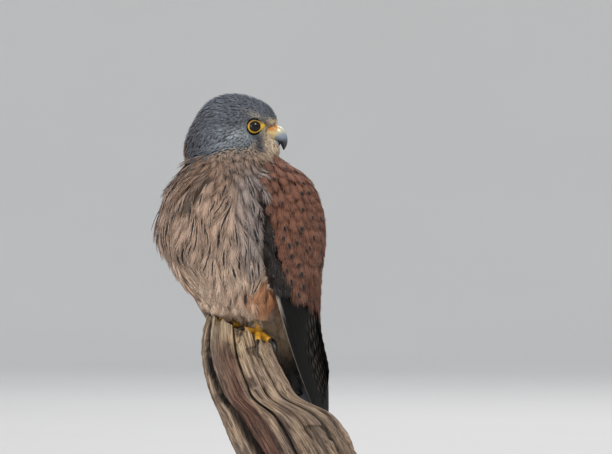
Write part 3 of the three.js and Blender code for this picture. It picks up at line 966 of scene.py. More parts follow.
def lie_of_coat(points, parts):
    """The way feathers point at each place, before it is laid flat on the skin."""
    parts = np.broadcast_to(parts, points.shape[:-1])
    ahead, _, up = in_head(points)
    chin = ramp(ahead, 18, 30) * ramp(up, 294, 288)
    drop = 0.25 + 1.5 * ramp(ahead, 0, -30) + 1.9 * ramp(up, 300, 287) + 2.0 * chin
    on_head = unit(-BILL_WAY + DOWN * drop[..., None])
    away = unit(points - NECK_BASE)
    homing = unit(VENT_PLACE - points)
    falling = 0.5 + 2.2 * ramp(in_bird(points)[1], 18, 34)
    on_body = unit(mixed(away + DOWN * falling[..., None], 0.7 * homing + 0.5 * DOWN, ramp(up, 262, 205)))
    on_body = mixed(on_body, TAIL_WAY, ramp(in_tail(points)[0], -30, 10) * (parts == TRUNK))
    sway = stack(*(rough(points, 15, seed) - 0.5 for seed in (11, 12, 13)))
    on_body = on_body + 1.5 * sway
    way = mixed(on_body, on_head, ramp(up, 276, 286))
    side = np.where(parts == WING_RIGHT, -1.0, 1.0)
    along_wing = bird(-0.51, -0.12 * side, -0.85)
    way = mixed(way, along_wing, np.isin(parts, WINGS))
    return unit(mixed(way, DOWN, 0.8 * np.isin(parts, THIGHS)))


def flat_on(way, normals):
    return unit(way - dot(way, normals)[..., None] * normals)


def run_over_skin(roots, normals, parts, lengths, steps, free):
    """Lines along the coat from each root, and the skin's normals under them; free ones leave the skin."""
    lines, ups = [roots], [normals]
    places = roots
    way = flat_on(lie_of_coat(roots, parts), normals)
    for _ in range(steps):
        ahead = lines[-1] + way * (lengths / steps)[:, None]
        places, normals = SKIN.nearest(ahead)
        places = places + free * (ahead - places)
        turned = unit(0.55 * way + 0.45 * lie_of_coat(places, parts))
        way = unit(flat_on(turned, normals) + free * (turned - flat_on(turned, normals)))
        lines.append(places)
        ups.append(normals)
    return np.stack(lines, 1), np.stack(ups, 1)


# Feather shapes: points as [share of the length, share of the half width, lift in mm], and triangles


def closed_loft(rings, around):
    """Triangles of a closed tube of rings, with its two ends filled."""
    quads = ring_faces(around, rings)
    last = (rings - 1) * around
    caps = [(0, k + 1, k) for k in range(1, around - 1)]
    caps += [(last, last + k, last + k + 1) for k in range(1, around - 1)]
    return np.concatenate([quads[:, [0, 1, 2]], quads[:, [0, 2, 3]], np.array(caps)])


def lock(start, bend, end, aspect, half, thickness, lift, segments):
    """A thin three-sided lock from start to end of a feather whose length is aspect half widths."""
    share = np.linspace(0, 1, segments + 1)[:, None]
    start, bend, end = (np.array(p, float) for p in (start, bend, end))
    middle = (1 - share) ** 2 * start + 2 * share * (1 - share) * bend + share**2 * end
    way = np.gradient(middle * (aspect, 1.0), axis=0)
    across = unit(np.stack([-way[:, 1], way[:, 0]], -1)) / (aspect, 1.0)
    width = half * (1 - share**1.6) + 0.01
    rise = lift * share[:, 0] ** 2
    left = np.column_stack([middle + across * width, rise])
    right = np.column_stack([middle - across * width, rise])
    top = np.column_stack([middle, rise + thickness * (1 - 0.8 * share[:, 0])])
    return np.stack([left, right, top], 1).reshape(-1, 3), closed_loft(segments + 1, 3)


def gather(pieces):
    points, faces, first = [], [], 0
    for more, triangles in pieces:
        points.append(more)
        faces.append(triangles + first)
        first += len(more)
    return np.concatenate(points), np.concatenate(faces)


def loose_feather(locks, aspect, half, segments, spread):
    """A soft feather: locks that leave the shaft one after another and end on a rounded outline."""
    pieces = [lock((0, 0), (0.5, 0), (1, 0), aspect, half, 0.25, 0.5, segments)]
    for i in range(locks):
        turn = math.radians(78) * (2 * (i + 0.5) / locks - 1) + chance.normal(0, 0.08)
        reach = 1 + chance.normal(0, 0.07)
        end = np.array([0.58 + 0.42 * math.cos(turn) * reach, spread * math.sin(turn) * reach])
        start = max(0.0, end[0] - 0.55 - 0.15 * chance.random())
        bend = (start + 0.6 * (end[0] - start), 0.3 * end[1])
        lift = chance.normal(0.3, 0.35)
        pieces.append(lock((start, 0.05 * end[1]), bend, end, aspect, half, 0.22, lift, segments))
    return gather(pieces)


def tuft(locks, aspect, half, segments):
    pieces = []
    for i in range(locks):
        off = (2 * (i + 0.5) / locks - 1) if locks > 1 else 0.0
        end = (1 - 0.25 * abs(off) + chance.normal(0, 0.06), 0.9 * off + chance.normal(0, 0.12))
        lift = chance.normal(0.2, 0.2)
        pieces.append(lock((0, 0.3 * off), (0.5, 0.7 * off), end, aspect, half, 0.3, lift, segments))
    return gather(pieces)


VANE_COLUMNS = (-1, -0.92, -0.5, 0, 0.5, 0.92, 1)
VANE_THICKNESS = 0.3


def vane_width(share, pointed):
    base = 0.35 + 0.65 * np.sin(0.5 * np.pi * np.clip(share / 0.5, 0, 1))
    tip = np.sqrt(np.clip(1 - np.clip((share - pointed) / (1.002 - pointed), 0, 1) ** 2.4, 0, 1))
    return base * tip + 0.02


def vane(rows, pointed, notches, ridge, camber, uneven=0.07):
    """A firm feather: a thin closed blade with a shaft ridge and a few splits at its edges."""
    share = np.linspace(0, 1, rows + 1)
    width = vane_width(share, pointed)
    columns = np.array(VANE_COLUMNS)
    split = {int(chance.integers(rows // 3, rows)): chance.choice([-1, 1]) for _ in range(notches)}
    rings = []
    for r, (t, w) in enumerate(zip(share, width)):
        ragged = 1 + uneven * (-1) ** r + chance.normal(0, 0.3 * uneven, len(columns))
        across = columns * w * np.where(np.abs(columns) > 0.9, ragged, 1)
        along = t - 0.05 * np.abs(columns) ** 2
        side = split.get(r, 0)
        across = np.where((np.sign(columns) == side) & (np.abs(columns) > 0.5), across * 0.72, across)
        lift = camber * (0.4 - columns**2 * w) + ridge * (np.abs(columns) < 0.1) * (1 - t)
        top = np.column_stack([along, across, lift])
        under = np.array([[t, 0.0, lift[3] - VANE_THICKNESS - ridge]])
        rings.append(np.concatenate([top, under]))
    return np.concatenate(rings), closed_loft(rows + 1, len(columns) + 1)


# Growing the coat

PATCH = 0.003
COAT_TOP, COAT_FOOT = 335.0, 20.0


def unwrap(points):
    """The place of drawing points on an unwrap of the body round its own upright middle line."""
    forward, left, up = in_bird(points)
    lean = 6 - 22 * ramp(up, 230, 120)
    u = np.arctan2(left, forward - lean) / (2 * np.pi) + 0.5
    return np.stack([0.01 + 0.98 * u, 0.01 + 0.98 * (up - COAT_FOOT) / (COAT_TOP - COAT_FOOT)], -1)


def put_map(piece, corners):
    """The map OFBake: corners holds a place for each of the piece's points."""
    layer = piece.data.uv_layers.new(name="OFBake")
    index = read_all(piece.data.loops, "vertex_index", 1)[:, 0]
    layer.data.foreach_set("uv", corners[index].astype(np.float32).ravel())


def fit_shape(shape, centres, ups, lengths, widths, droop):
    """The points of one shape laid along each centre line."""
    points = shape[0]
    steps = centres.shape[1] - 1
    ways = unit(np.gradient(centres, axis=1))
    sides = unit(np.cross(ups, ways))
    ups = np.cross(ways, sides)
    at = np.clip(points[:, 0], 0, 1) * steps
    low = np.minimum(at.astype(int), steps - 1)
    part = (at - low)[None, :, None]
    beyond = (points[:, 0] - np.clip(points[:, 0], 0, 1))[None, :, None] * lengths[:, None, None]

    def between(values):
        return values[:, low] * (1 - part) + values[:, low + 1] * part

    off = points[None, :, 1] * widths[:, None]
    lift = points[None, :, 2] - droop * off**2
    along = between(centres) + between(ways) * beyond
    return along + between(sides) * off[..., None] + between(ups) * lift[..., None]


class Coat:
    """One piece of feathers, gathered before it is made into a mesh."""

    def __init__(self):
        self.parts = {"points": [], "faces": [], "tint": [], "vane": [], "mark": [], "map": []}
        self.count = 0

    def add(self, shape, centres, ups, lengths, widths, tints, marks, droop=0.012, edge=0.0):
        """Feathers of one shape; tints has a row for each feather, or a function of share and width."""
        if not len(centres):
            return
        local, faces = shape
        points = fit_shape(shape, centres, ups, lengths, widths, droop)
        number, each = points.shape[:2]
        self.parts["points"].append(points.reshape(-1, 3))
        first = self.count + np.arange(number)[:, None, None] * each
        self.parts["faces"].append((faces[None] + first).reshape(-1, 3))
        self.count += number * each
        twist = chance.random(number)
        vanes = np.empty((number, each, 3))
        vanes[..., :2] = local[None, :, :2]
        vanes[..., 2] = twist[:, None]
        self.parts["vane"].append(vanes.reshape(-1, 3))
        if callable(tints):
            shades = np.broadcast_to(tints(local[:, 0], local[:, 1]), (number, each, 3))
        else:
            # Painted shade: each feather is darker towards its root, where the feathers above cover it;
            # edge makes its margins paler, which is the feather's own colour
            root_shade_and_pale_edge = 0.72 + 0.28 * ramp(local[:, 0], 0.1, 0.6)
            root_shade_and_pale_edge = root_shade_and_pale_edge * (1 + edge * ramp(np.abs(local[:, 1]), 0.7, 1.0))
            shades = tints[:, None, :] * root_shade_and_pale_edge[None, :, None]
        self.parts["tint"].append(shades.reshape(-1, 3))
        self.parts["mark"].append(np.repeat(marks, each, axis=0))
        patch = np.stack([0.5 + 0.5 * np.clip(local[:, 1], -1, 1), np.clip(local[:, 0], 0, 1)], -1)
        self.parts["map"].append((unwrap(centres[:, 0])[:, None] + PATCH * patch[None]).reshape(-1, 2))

    def make(self, name, material, slot, *nodes):
        whole = {key: np.concatenate(rows) for key, rows in self.parts.items()}
        piece = mesh_object(name, whole["points"], whole["faces"], material)
        paint(piece, tint=whole["tint"], vane=whole["vane"], mark=whole["mark"])
        put_map(piece, whole["map"])
        print(name, len(whole["faces"]), "triangles")
        return mount(piece, slot, *nodes)


NO_MARK = (0.0, 0.0, 0.0)


def grow(
    coat,
    shapes,
    place,
    length,
    width,
    low,
    high,
    marks=NO_MARK,
    steps=5,
    droop=0.012,
    edge=0.0,
    uneven=0.07,
    free=0.0,
):
    """Grows feathers on the skin; place is (roots, normals, parts), and sizes may differ for each."""
    roots, normals, parts = place
    number = len(roots)
    lengths = np.broadcast_to(length, number) * chance.normal(1, 0.08, number)
    widths = np.broadcast_to(width, number) * chance.normal(1, 0.08, number)
    free = np.broadcast_to(free, number)[:, None]
    lines, ups = run_over_skin(roots, normals, parts, lengths, steps, free)
    share = np.linspace(0, 1, steps + 1)[None, :, None]
    low, high = (np.broadcast_to(value, number)[:, None, None] for value in (low, high))
    stray = chance.normal(0, 0.15, (number, 1, 1)) * share
    centres = lines + ups * (low + (high - low) * share**0.8 + stray)
    tints = ground_colour(lines[:, int(round(0.6 * steps))], parts) * chance.normal(1, uneven, (number, 1))
    lay_kinds(coat, shapes, centres, ups, lengths, widths, tints, marks, droop, edge)


def lay_kinds(coat, shapes, centres, ups, lengths, widths, tints, marks, droop, edge):
    """Adds feathers to the coat, each with one of the shapes."""
    marks = np.broadcast_to(marks, (len(centres), 3))
    kinds = chance.integers(0, len(shapes), len(centres))
    for kind, shape in enumerate(shapes):
        some = kinds == kind
        rows = (values[some] for values in (centres, ups, lengths, widths, tints, marks))
        coat.add(shape, *rows, droop=droop, edge=edge)


def roots_on(wanted, tries, spacing):
    """Roots for feathers on the skin's wanted triangles; spacing is a number or a function of points."""
    places, normals = SKIN.scatter(tries, wanted)
    gaps = spacing(places) if callable(spacing) else np.full(len(places), float(spacing))
    kept = thin_out(places, gaps)
    places, normals = places[kept], normals[kept]
    return places, normals, part_of(places)


BELLY_TOP = 232.0


def wanted_where(*conditions):
    return np.logical_and.reduce(conditions).astype(float)


def grow_head():
    """Short tufts over the head and nape, smallest on the face and none on the eye's bare ring."""
    ahead, left, up = in_head(TRIANGLE_MIDDLES)
    hood = up > TUFT_EDGE(ahead) - 3
    bare = (ahead > 28.5) & (up > 292) & (up < 303.5) & (np.abs(left) < 6)
    behind = TRIANGLE_MIDDLES - 2.2 * BILL_WAY
    by_ring = np.minimum(eye_distance(TRIANGLE_MIDDLES), eye_distance(behind) + 0.2) <= RING_EDGE
    wanted = wanted_where(hood, ~by_ring, ~bare, TRIANGLE_PARTS <= NECK)

    def spacing(points):
        forward = in_head(points)[0]
        return 1.75 - 0.65 * ramp(forward, 4, 26) + 0.4 * ramp(forward, -8, -30)

    place = roots_on(wanted, tries=30000, spacing=spacing)
    forward, _, height = in_head(place[0])
    by_eye = ramp(eye_distance(place[0]), 11, 6)
    size = (6.6 - 3.6 * ramp(forward, 0, 26)) * (1 - 0.4 * by_eye)
    size = size + 2.2 * ramp(height, 292, 286) * ramp(forward, 8, 20)
    high = 2.1 - 0.9 * ramp(forward, 12, 28) - 0.3 * by_eye + 1.6 * ramp(height, 292, 287)
    shapes = [tuft(locks=3, aspect=5.0, half=0.42, segments=2) for _ in range(6)]
    coat = Coat()
    width = 0.9 + 0.08 * size
    grow(coat, shapes, place, size, width, low=0.1, high=high, steps=3, droop=0.02, uneven=0.16)
    coat.make("coat_head", HEAD_PLUMAGE, "grey_plumage")


def grow_front():
    """Soft feathers over breast, flanks and belly, with longer streaked ones among them."""
    bearing, left = bearing_of(TRIANGLE_MIDDLES)
    ahead, _, up = in_head(TRIANGLE_MIDDLES)
    edge = back_edge(left, up)
    below_hood = up < TUFT_EDGE(ahead) + 1.5
    over = in_tail(TRIANGLE_MIDDLES)[2]
    forward, aside, _ = in_bird(TRIANGLE_MIDDLES)
    wing_front = wing_point(1, up, 0.0, 0.0)[:, 0] - 6
    beside_wing = bird(forward, np.abs(aside), up)[:, 0] > wing_front
    under_wing = beside_wing & (up > 205) & (up < 274) & (aside > 0)
    front = (bearing < edge + 6) & (up > 178) & ~under_wing | (over < 0) & (up <= 178)
    wanted = wanted_where(below_hood, front, TRIANGLE_PARTS <= TRUNK)

    def spacing(points):
        return 3.0 + 2.8 * ramp(points[:, 2], 288, 255)

    ground = roots_on(wanted, tries=24000, spacing=spacing)
    shown = wanted * (up < 284) * (up > 172) * (bearing < 80)
    streaked = roots_on(shown, tries=4000, spacing=9.0)
    soft = [loose_feather(locks=17, aspect=4.6, half=0.085, segments=3, spread=1.0) for _ in range(8)]
    long = [loose_feather(locks=7, aspect=6.5, half=0.17, segments=4, spread=0.9) for _ in range(5)]
    for name, low, high in (("coat_breast", BELLY_TOP, 999), ("coat_belly", 0, BELLY_TOP)):
        coat = Coat()
        grow_layer(coat, soft, ground, low, high, 1.0, 0.25)
        grow_layer(coat, long, streaked, low, high, 0.62, 0.85)
        coat.make(name, SOFT_PLUMAGE, "buff_plumage")


def grow_layer(coat, shapes, place, low, high, breadth, marked_share):
    """One layer of breast feathers between two heights; part of them have a dark streak on the shaft."""
    some = (place[0][:, 2] > low) & (place[0][:, 2] <= high)
    roots, normals, parts = (values[some] for values in place)
    up = roots[:, 2]
    grown = ramp(up, 290, 252)
    length = (10 + 17 * grown) * (0.6 + 0.4 * breadth) * (1 - 0.42 * ramp(up, 186, 172))
    width = (2.6 + 3.0 * grown) * breadth
    marked = chance.random(len(roots)) < marked_share * ramp(up, 176, 208)
    free = 0.1 + 0.65 * ramp(up, 192, 174)
    streak = np.column_stack(
        [
            chance.uniform(0.2, 0.5, len(roots)),
            chance.uniform(0.88, 1.0, len(roots)),
            chance.uniform(0.1, 0.2, len(roots)) / breadth**1.2,
        ]
    )
    standing = 3.6 + 3.4 * ramp(rough(roots, 12, 31), 0.45, 0.8) + 1.6 * (1 - breadth)
    start = 0.3 + 4.5 * (1 - breadth)
    marks = streak * marked[:, None]
    grow(coat, shapes, (roots, normals, parts), length, width, start, standing, marks, free=free)


def grow_back():
    """Vaned feathers with dark drops over the mantle, and grey ones over the rump."""
    bearing, left = bearing_of(TRIANGLE_MIDDLES)
    ahead, _, up = in_head(TRIANGLE_MIDDLES)
    over = in_tail(TRIANGLE_MIDDLES)[2]
    below_hood = up < HOOD_EDGE(ahead) + 1
    edge = back_edge(left, up)
    rear = (bearing > edge - 2) & (up > 180) | (over > -3) & (up <= 180)
    wanted = wanted_where(below_hood, rear, np.isin(TRIANGLE_PARTS, (TRUNK, NECK)))

    def spacing(points):
        return 5.2 + 1.4 * ramp(points[:, 2], 284, 262)

    places = roots_on(wanted, tries=9000, spacing=spacing)
    height = places[0][:, 2]
    shapes = [loose_feather(locks=20, aspect=3.4, half=0.12, segments=3, spread=1.0) for _ in range(5)]
    size = 1 - 0.45 * ramp(height, 262, 286)
    marks = drops(len(height), share=0.4, start=0.72, length=0.2, width=0.32)
    marks = marks * ramp(height, 200, 206)[:, None]
    coat = Coat()
    grow(coat, shapes, places, 24 * size, 7.4 * size, low=0.2, high=4.2 * size, marks=marks, edge=0.12)
    coat.make("coat_back", VANED_PLUMAGE, "chestnut_plumage")


def grow_legs():
    """Long loose feathers of the thighs, which hang clear of the skin."""
    shapes = [loose_feather(locks=13, aspect=4.6, half=0.11, segments=3, spread=0.95) for _ in range(6)]
    places = roots_on(wanted_where(np.isin(TRIANGLE_PARTS, THIGHS)), tries=6000, spacing=4.0)
    coat = Coat()
    outer = ramp(np.abs(in_bird(places[0])[1]), 20, 28) * ramp(places[0][:, 2], 178, 164)
    length = 14 + 15 * outer
    width, high = 3.4 + 1.2 * outer, 2.6 + 1.4 * outer
    grow(coat, shapes, places, length, width, low=0.2, high=high, free=0.85)
    coat.make("coat_thighs", SOFT_PLUMAGE, "buff_plumage")


# Folded wings: rows of height, then the forward and left place of the front edge, of the outermost
# corner, and of the inner edge beside the back

WING_SLICES = smooth_table(
    [
        [51, -98, 12.5, -98, 12.5, -98, 12.5],
        [88, -71, 21, -89.5, 14, -92, 9],
        [109, -52, 26.5, -81, 19, -86, 8],
        [151, -12, 40, -56, 31.5, -64, 7],
        [190, 20, 47, -43, 43.5, -54, 8],
        [212, 30, 51, -38, 51, -48, 10],
        [234, 36.5, 52, -32.5, 55, -44, 11],
        [250, 34, 50, -27, 54, -40, 12],
        [264, 26, 45, -20, 50, -32, 14],
        [277, 10, 32, -8, 38, -18, 18],
    ]
)


def wing_point(side, up, across, inward):
    """A place on the folded wing: across runs from its front edge to its inner edge."""
    up, across, inward = np.broadcast_arrays(*(np.asarray(v, float) for v in (up, across, inward)))
    front_x, front_y, corner_x, corner_y, inner_x, inner_y = np.moveaxis(WING_SLICES(up), -1, 0)

    def bend(a, corner, b):
        control = 2 * corner - (a + b) / 2
        return (1 - across) ** 2 * a + 2 * across * (1 - across) * control + across**2 * b

    forward, left = bend(front_x, corner_x, inner_x), bend(front_y, corner_y, inner_y)
    towards = unit(np.stack([-10 + 0.12 * (up - 151) - forward, -left], -1))
    return bird(forward + towards[..., 0] * inward, side * (left + towards[..., 1] * inward), up)


def wing_lines(side, top, foot, across, inward, steps):
    """Feather lines down the wing from top to foot, and the outward directions beside them."""
    share = np.linspace(0, 1, steps + 1)[None, :]
    up = top[:, None] * (1 - share) + foot[:, None] * share
    across = across[:, None] + 0 * up
    inward = np.broadcast_to(inward, up.shape)
    centres = wing_point(side, up, across, inward)
    ways = unit(np.gradient(centres, axis=1))
    sides = wing_point(side, up, across + 0.02, inward) - wing_point(side, up, across - 0.02, inward)
    outward = unit(np.cross(ways, sides))
    facing = dot(outward, wing_point(side, up, across, inward - 2) - centres)
    return centres, outward * np.sign(facing)[..., None]


def drops(number, share, start, length, width):
    """Dark drops near the tips of that share of the feathers."""
    marks = np.zeros((number, 3))
    marked = chance.random(number) < share
    marks[:, 0] = np.where(marked, start + chance.normal(0, 0.03, number), 0)
    marks[:, 1] = np.where(marked, marks[:, 0] + length * chance.uniform(0.75, 1.25, number), 0)
    marks[:, 2] = np.where(marked, width * chance.uniform(0.7, 1.3, number), 0)
    return marks


COVERT_ROWS = 15
COVERTS_LOW, COVERTS_HIGH = 186.0, 272.0
COVERT_GAP = 6.4
FRINGE_TOPS = (186, 191, 196, 201)
FRINGE_COUNT = 15
BARE_FRONT = 0.13
# How far down a feather of the wing reaches, as a share of its length
HANG = 0.86


def grow_wing_coverts(name, side):
    """The chestnut feathers over the folded wing, row by row from below, and the long fringe."""
    shapes = [loose_feather(locks=22, aspect=3.4, half=0.13, segments=4, spread=1.0) for _ in range(6)]
    fringe = [loose_feather(locks=18, aspect=5.5, half=0.085, segments=4, spread=0.9) for _ in range(4)]
    part = WING_LEFT if side > 0 else WING_RIGHT
    coat = Coat()
    for row in range(COVERT_ROWS):
        grow_covert_row(coat, shapes, side, part, row)
    for top in FRINGE_TOPS:
        grow_fringe(coat, fringe, side, part, top)
    coat.make(name, VANED_PLUMAGE, "chestnut_plumage")


def grow_covert_row(coat, shapes, side, part, row):
    share = row / (COVERT_ROWS - 1)
    top = COVERTS_LOW + (COVERTS_HIGH - COVERTS_LOW) * share
    around = wing_point(side, top, np.linspace(0.0, 1.0, 30), 0)
    arc = np.linalg.norm(np.diff(around, axis=0), axis=1).sum()
    count = int(arc / COVERT_GAP)
    across = (np.arange(count) + 0.5 * (row % 2) + 0.25) / count
    across = np.clip(across + chance.normal(0, 0.12 / count, count), 0.0, 0.985)
    across = across[(across > BARE_FRONT) | (side > 0)]
    count = len(across)
    tops = top + 6 + chance.normal(0, 1.3, count)
    front = ramp(across, 0.16, 0.0)
    lengths = (27 - 11 * share) * (1 - 0.3 * front) * chance.normal(1, 0.06, count)
    widths = (7.6 - 2.0 * share) * (1 - 0.3 * front) * chance.normal(1, 0.06, count)
    down = np.linspace(0, 1, 7)[None]
    inward = 3.2 - 2.9 * down**0.7 + chance.normal(0, 0.25, (count, 1)) * down
    centres, ups = wing_lines(side, tops, tops - HANG * lengths, across, inward, 6)
    tints = ground_colour(centres[:, 4], part) * chance.normal(1, 0.07, (count, 1))
    marks = drops(count, share=0.45, start=0.74, length=0.22, width=0.29)
    lay_kinds(coat, shapes, centres, ups, lengths, widths, tints, marks, droop=0.012, edge=0.15)


def grow_fringe(coat, shapes, side, part, top):
    """Long narrow feathers that end the chestnut over the flight feathers."""
    across = np.clip((np.arange(FRINGE_COUNT) + chance.random(FRINGE_COUNT)) / FRINGE_COUNT, 0.3, 0.99)
    lengths = (26 + 16 * ramp(across, 0.3, 0.9)) * chance.normal(1, 0.12, FRINGE_COUNT)
    widths = lengths / 6.5
    tops = top + chance.normal(0, 1.5, FRINGE_COUNT)
    inward = 2.2 - 2.1 * np.linspace(0, 1, 8)[None] ** 0.7 + np.zeros((FRINGE_COUNT, 1))
    centres, ups = wing_lines(side, tops, tops - HANG * lengths, across, inward, 7)
    tints = ground_colour(centres[:, 1], part) * chance.normal(0.95, 0.1, (FRINGE_COUNT, 1))
    lay_kinds(coat, shapes, centres, ups, lengths, widths, tints, NO_MARK, droop=0.006, edge=0.0)


# Flight feathers of the folded wing and the tail, each a blade of its own

PRIMARIES, SECONDARIES = 10, 7
FLIGHT_TOP = 196.0
POINTED = 0.8
PRIMARY_COLOUR = linear((10, 9, 9))
PRIMARY_EDGE = linear((96, 86, 76))
LEADING_EDGE = linear((216, 206, 192))
UNMARKED = np.zeros((1, 3))


def flight_tip(across):
    return 54 + 66 * np.clip(across, 0, 1) ** 1.15


def flight_shade(along, aside, side, share):
    """Black blades with a brown front margin, a little paler inwards; the first has a pale front edge."""
    colour = mixed(PRIMARY_COLOUR, PRIMARY_COLOUR * 1.6, ramp(share, 0.5, 1.0) * np.ones_like(along))
    front = -side * aside / vane_width(along, POINTED)
    margin = ramp(front, 0.94, 1.0) * 0.45 + ramp(along, 0.985, 1.0) * 0.3
    colour = mixed(colour, PRIMARY_EDGE, margin)
    pale = ramp(front, 0.96, 1.0) * (share == 0)
    return mixed(colour, LEADING_EDGE, pale * 0.9)[None]


def grow_flights(name, side, *nodes):
    """Primaries from the long front one inwards, then the secondaries that lie over their roots."""
    blades = [vane(rows=26, pointed=POINTED, notches=2, ridge=0.35, camber=0.25) for _ in range(4)]
    front_blade = vane(rows=26, pointed=POINTED, notches=0, ridge=0.35, camber=0.25, uneven=0.0)
    coat = Coat()
    count = PRIMARIES + SECONDARIES
    for i in range(count):
        share = i / (count - 1)
        tops = np.array([FLIGHT_TOP + 4.0 + 12.0 * ramp(share, 0.3, 0.0)])
        feet = np.array([flight_tip(share**0.8) + chance.normal(0, 0.8)])
        across = np.array([0.06 + 0.86 * share])
        inward = 2.9 - 2.2 * share + 0.35 * (1 - np.linspace(0, 1, 13))[None]
        centres, ups = wing_lines(side, tops, feet, across, inward, 12)
        lengths = np.linalg.norm(np.diff(centres, axis=1), axis=-1).sum(1)
        shape, width = (blades[i % 4], 8.6) if i else (front_blade, 7.4)

        def shade(along, aside):
            return flight_shade(along, aside, side, share)

        coat.add(shape, centres, ups, lengths, np.array([width]), shade, UNMARKED, droop=0.006)
    coat.make(name, FLIGHT_PLUMAGE, "dark_plumage", *nodes)


TAIL_FEATHERS = 12
TAIL_VANE = np.array([8.6])
TAIL_GREY = linear((116, 122, 132))
TAIL_BAND = linear((34, 33, 36))
TAIL_TIP = linear((206, 198, 186))


def tail_shade(along, _):
    colour = mixed(TAIL_GREY, TAIL_BAND, ramp(along, 0.775, 0.795) * ramp(along, 0.962, 0.95))
    return mixed(colour, TAIL_TIP, ramp(along, 0.955, 0.97))[None]


def grow_tail():
    shapes = [vane(rows=30, pointed=0.9, notches=2, ridge=0.3, camber=0.2) for _ in range(4)]
    coat = Coat()
    for i in range(TAIL_FEATHERS):
        off = 2 * i / (TAIL_FEATHERS - 1) - 1
        along = np.linspace(10, TAIL_LENGTH * (1 - 0.13 * abs(off) ** 2.4), 13)
        half = 9 + 11.5 * along / TAIL_LENGTH
        back = 1.6 - 3.2 * abs(off) ** 1.6 + 0.1 * (i % 2)
        centres = tail_point(along, half * off * 0.62, back)[None]
        ups = np.broadcast_to(tail_point(0, 0, 1) - tail_point(0, 0, 0), centres.shape)
        lengths = np.array([along[-1] - along[0]])
        coat.add(shapes[i % 4], centres, ups, lengths, TAIL_VANE, tail_shade, UNMARKED, droop=0.004)
    coat.make("tail_feathers", VANED_PLUMAGE, "tail_plumage", "tail")


# Bill, cere, eyes and lids


def curve_through(points):
    """A smooth curve by share of its length, as a function that gives points."""
    points = np.array(points, float)
    places = np.concatenate([[0], np.cumsum(np.linalg.norm(np.diff(points, axis=0), axis=1))])
    return smooth_table(np.column_stack([places / places[-1], points]).tolist())


def horn_rings(points, sizes, around, rings, across=None, shaped=None):
    """Rings of a tapering tube along a curve; sizes(t) gives half width and half height."""
    share = np.linspace(0, 1, rings)
    middles = curve_through(points)(share)
    ways = unit(np.gradient(middles, axis=0))
    across = unit(-HEAD_SIDE if across is None else across) + 0 * ways
    ups = unit(np.cross(across, ways))
    turn = np.linspace(0, 2 * np.pi, around, endpoint=False)[None, :]
    width, height = (size[:, None] for size in np.moveaxis(sizes(share), -1, 0))
    scale = 1.0 if shaped is None else shaped(share[:, None], turn)
    side_way = (width * scale * np.cos(turn))[..., None] * across[:, None]
    up_way = (height * scale * np.sin(turn))[..., None] * ups[:, None]
    return middles[:, None] + side_way + up_way, share[:, None] + 0 * turn, turn + 0 * share[:, None]


def grain_group():
    """Fine grain of horn and bare skin: how far it darkens the colour, and its height."""
    group, given, made = new_group("horn grain", {"Scale": "Float"}, {"Shade": "Float", "Height": "Float"})
    fine = add_node(group, "ShaderNodeTexNoise", Detail=4.0, Roughness=0.6)
    group.links.new(group.nodes.new("ShaderNodeTexCoord").outputs["Object"], fine.inputs["Vector"])
    group.links.new(given["Scale"], fine.inputs["Scale"])
    group.links.new(fine.outputs["Fac"], made["Height"])
    group.links.new(map_range(group, fine.outputs["Fac"], 0.3, 0.75, 0.0, 0.28), made["Shade"])
    return group


HORN_GRAIN = grain_group()


def horn_material(name, roughness, coat, scale, specular=0.5):
    material, tree, shader = new_material(name, roughness, Coat_Weight=coat, Coat_Roughness=0.12)
    shader.inputs["Specular IOR Level"].default_value = specular
    tint = painted(tree, "tint").outputs["Color"]
    grain = place_group(tree, HORN_GRAIN, scale=scale)
    shade = mix_colour(tree, grain.outputs["Shade"], tint, (0.3, 0.3, 0.3), "MULTIPLY")
    tree.links.new(shade, shader.inputs["Base Color"])
    set_bump(tree, shader, grain.outputs["Height"], 0.25, 0.0002)
    return material


BILL_BASE = linear((208, 198, 160))
BILL_BLUE = linear((128, 142, 158))
BILL_TIP = linear((26, 28, 34))
CERE_YELLOW = linear((226, 200, 140))
CERE_ORANGE = linear((204, 132, 56))
BILL_SPINE = ((31, 0, 298.2), (35.6, 0, 297.4), (38.7, 0, 294.2), (40.3, 0, 289.6), (40.3, 0, 284.8))
LOWER_SPINE = ((29, 0, 291.6), (33.6, 0, 290.5), (37.2, 0, 288.3))
CERE_SPINE = ((27.5, 0, 299), (31.4, 0, 298.8), (35.6, 0, 298))
UPPER_BILL = smooth_table(
    [[0, 5.3, 5.6], [0.3, 4.8, 5.2], [0.6, 3.2, 3.7], [0.85, 1.5, 1.9], [1, 0.35, 0.4]]
)
# The nostril's place: share of the cere's length, and its angle above the middle of the side
NOSTRIL = (0.62, math.radians(38))


def head_places(places):
    return [head(*place) for place in places]


def bill_tooth(share, turn):
    """The tooth on the cutting edge of a falcon's upper bill, and the notch after it."""
    lower = np.clip(-np.sin(turn), 0, 1)
    return 1 + 0.16 * bump(share, 0.66, 0.05) * lower**3 - 0.1 * bump(share, 0.76, 0.05) * lower**3


def make_upper_bill(horn):
    spine = head_places(BILL_SPINE)
    points, share, turn = horn_rings(spine, UPPER_BILL, around=32, rings=44, shaped=bill_tooth)
    upper = tube("bill_upper_horn", points, horn)
    tint = mixed(BILL_BASE, BILL_BLUE, ramp(share - 0.06 * np.sin(turn), 0.2, 0.48))
    tint = mixed(tint, BILL_TIP, ramp(share - 0.05 * np.sin(turn), 0.46, 0.7))
    paint(upper, tint=tint.reshape(-1, 3))
    mount(upper, "horn", "bill_upper")


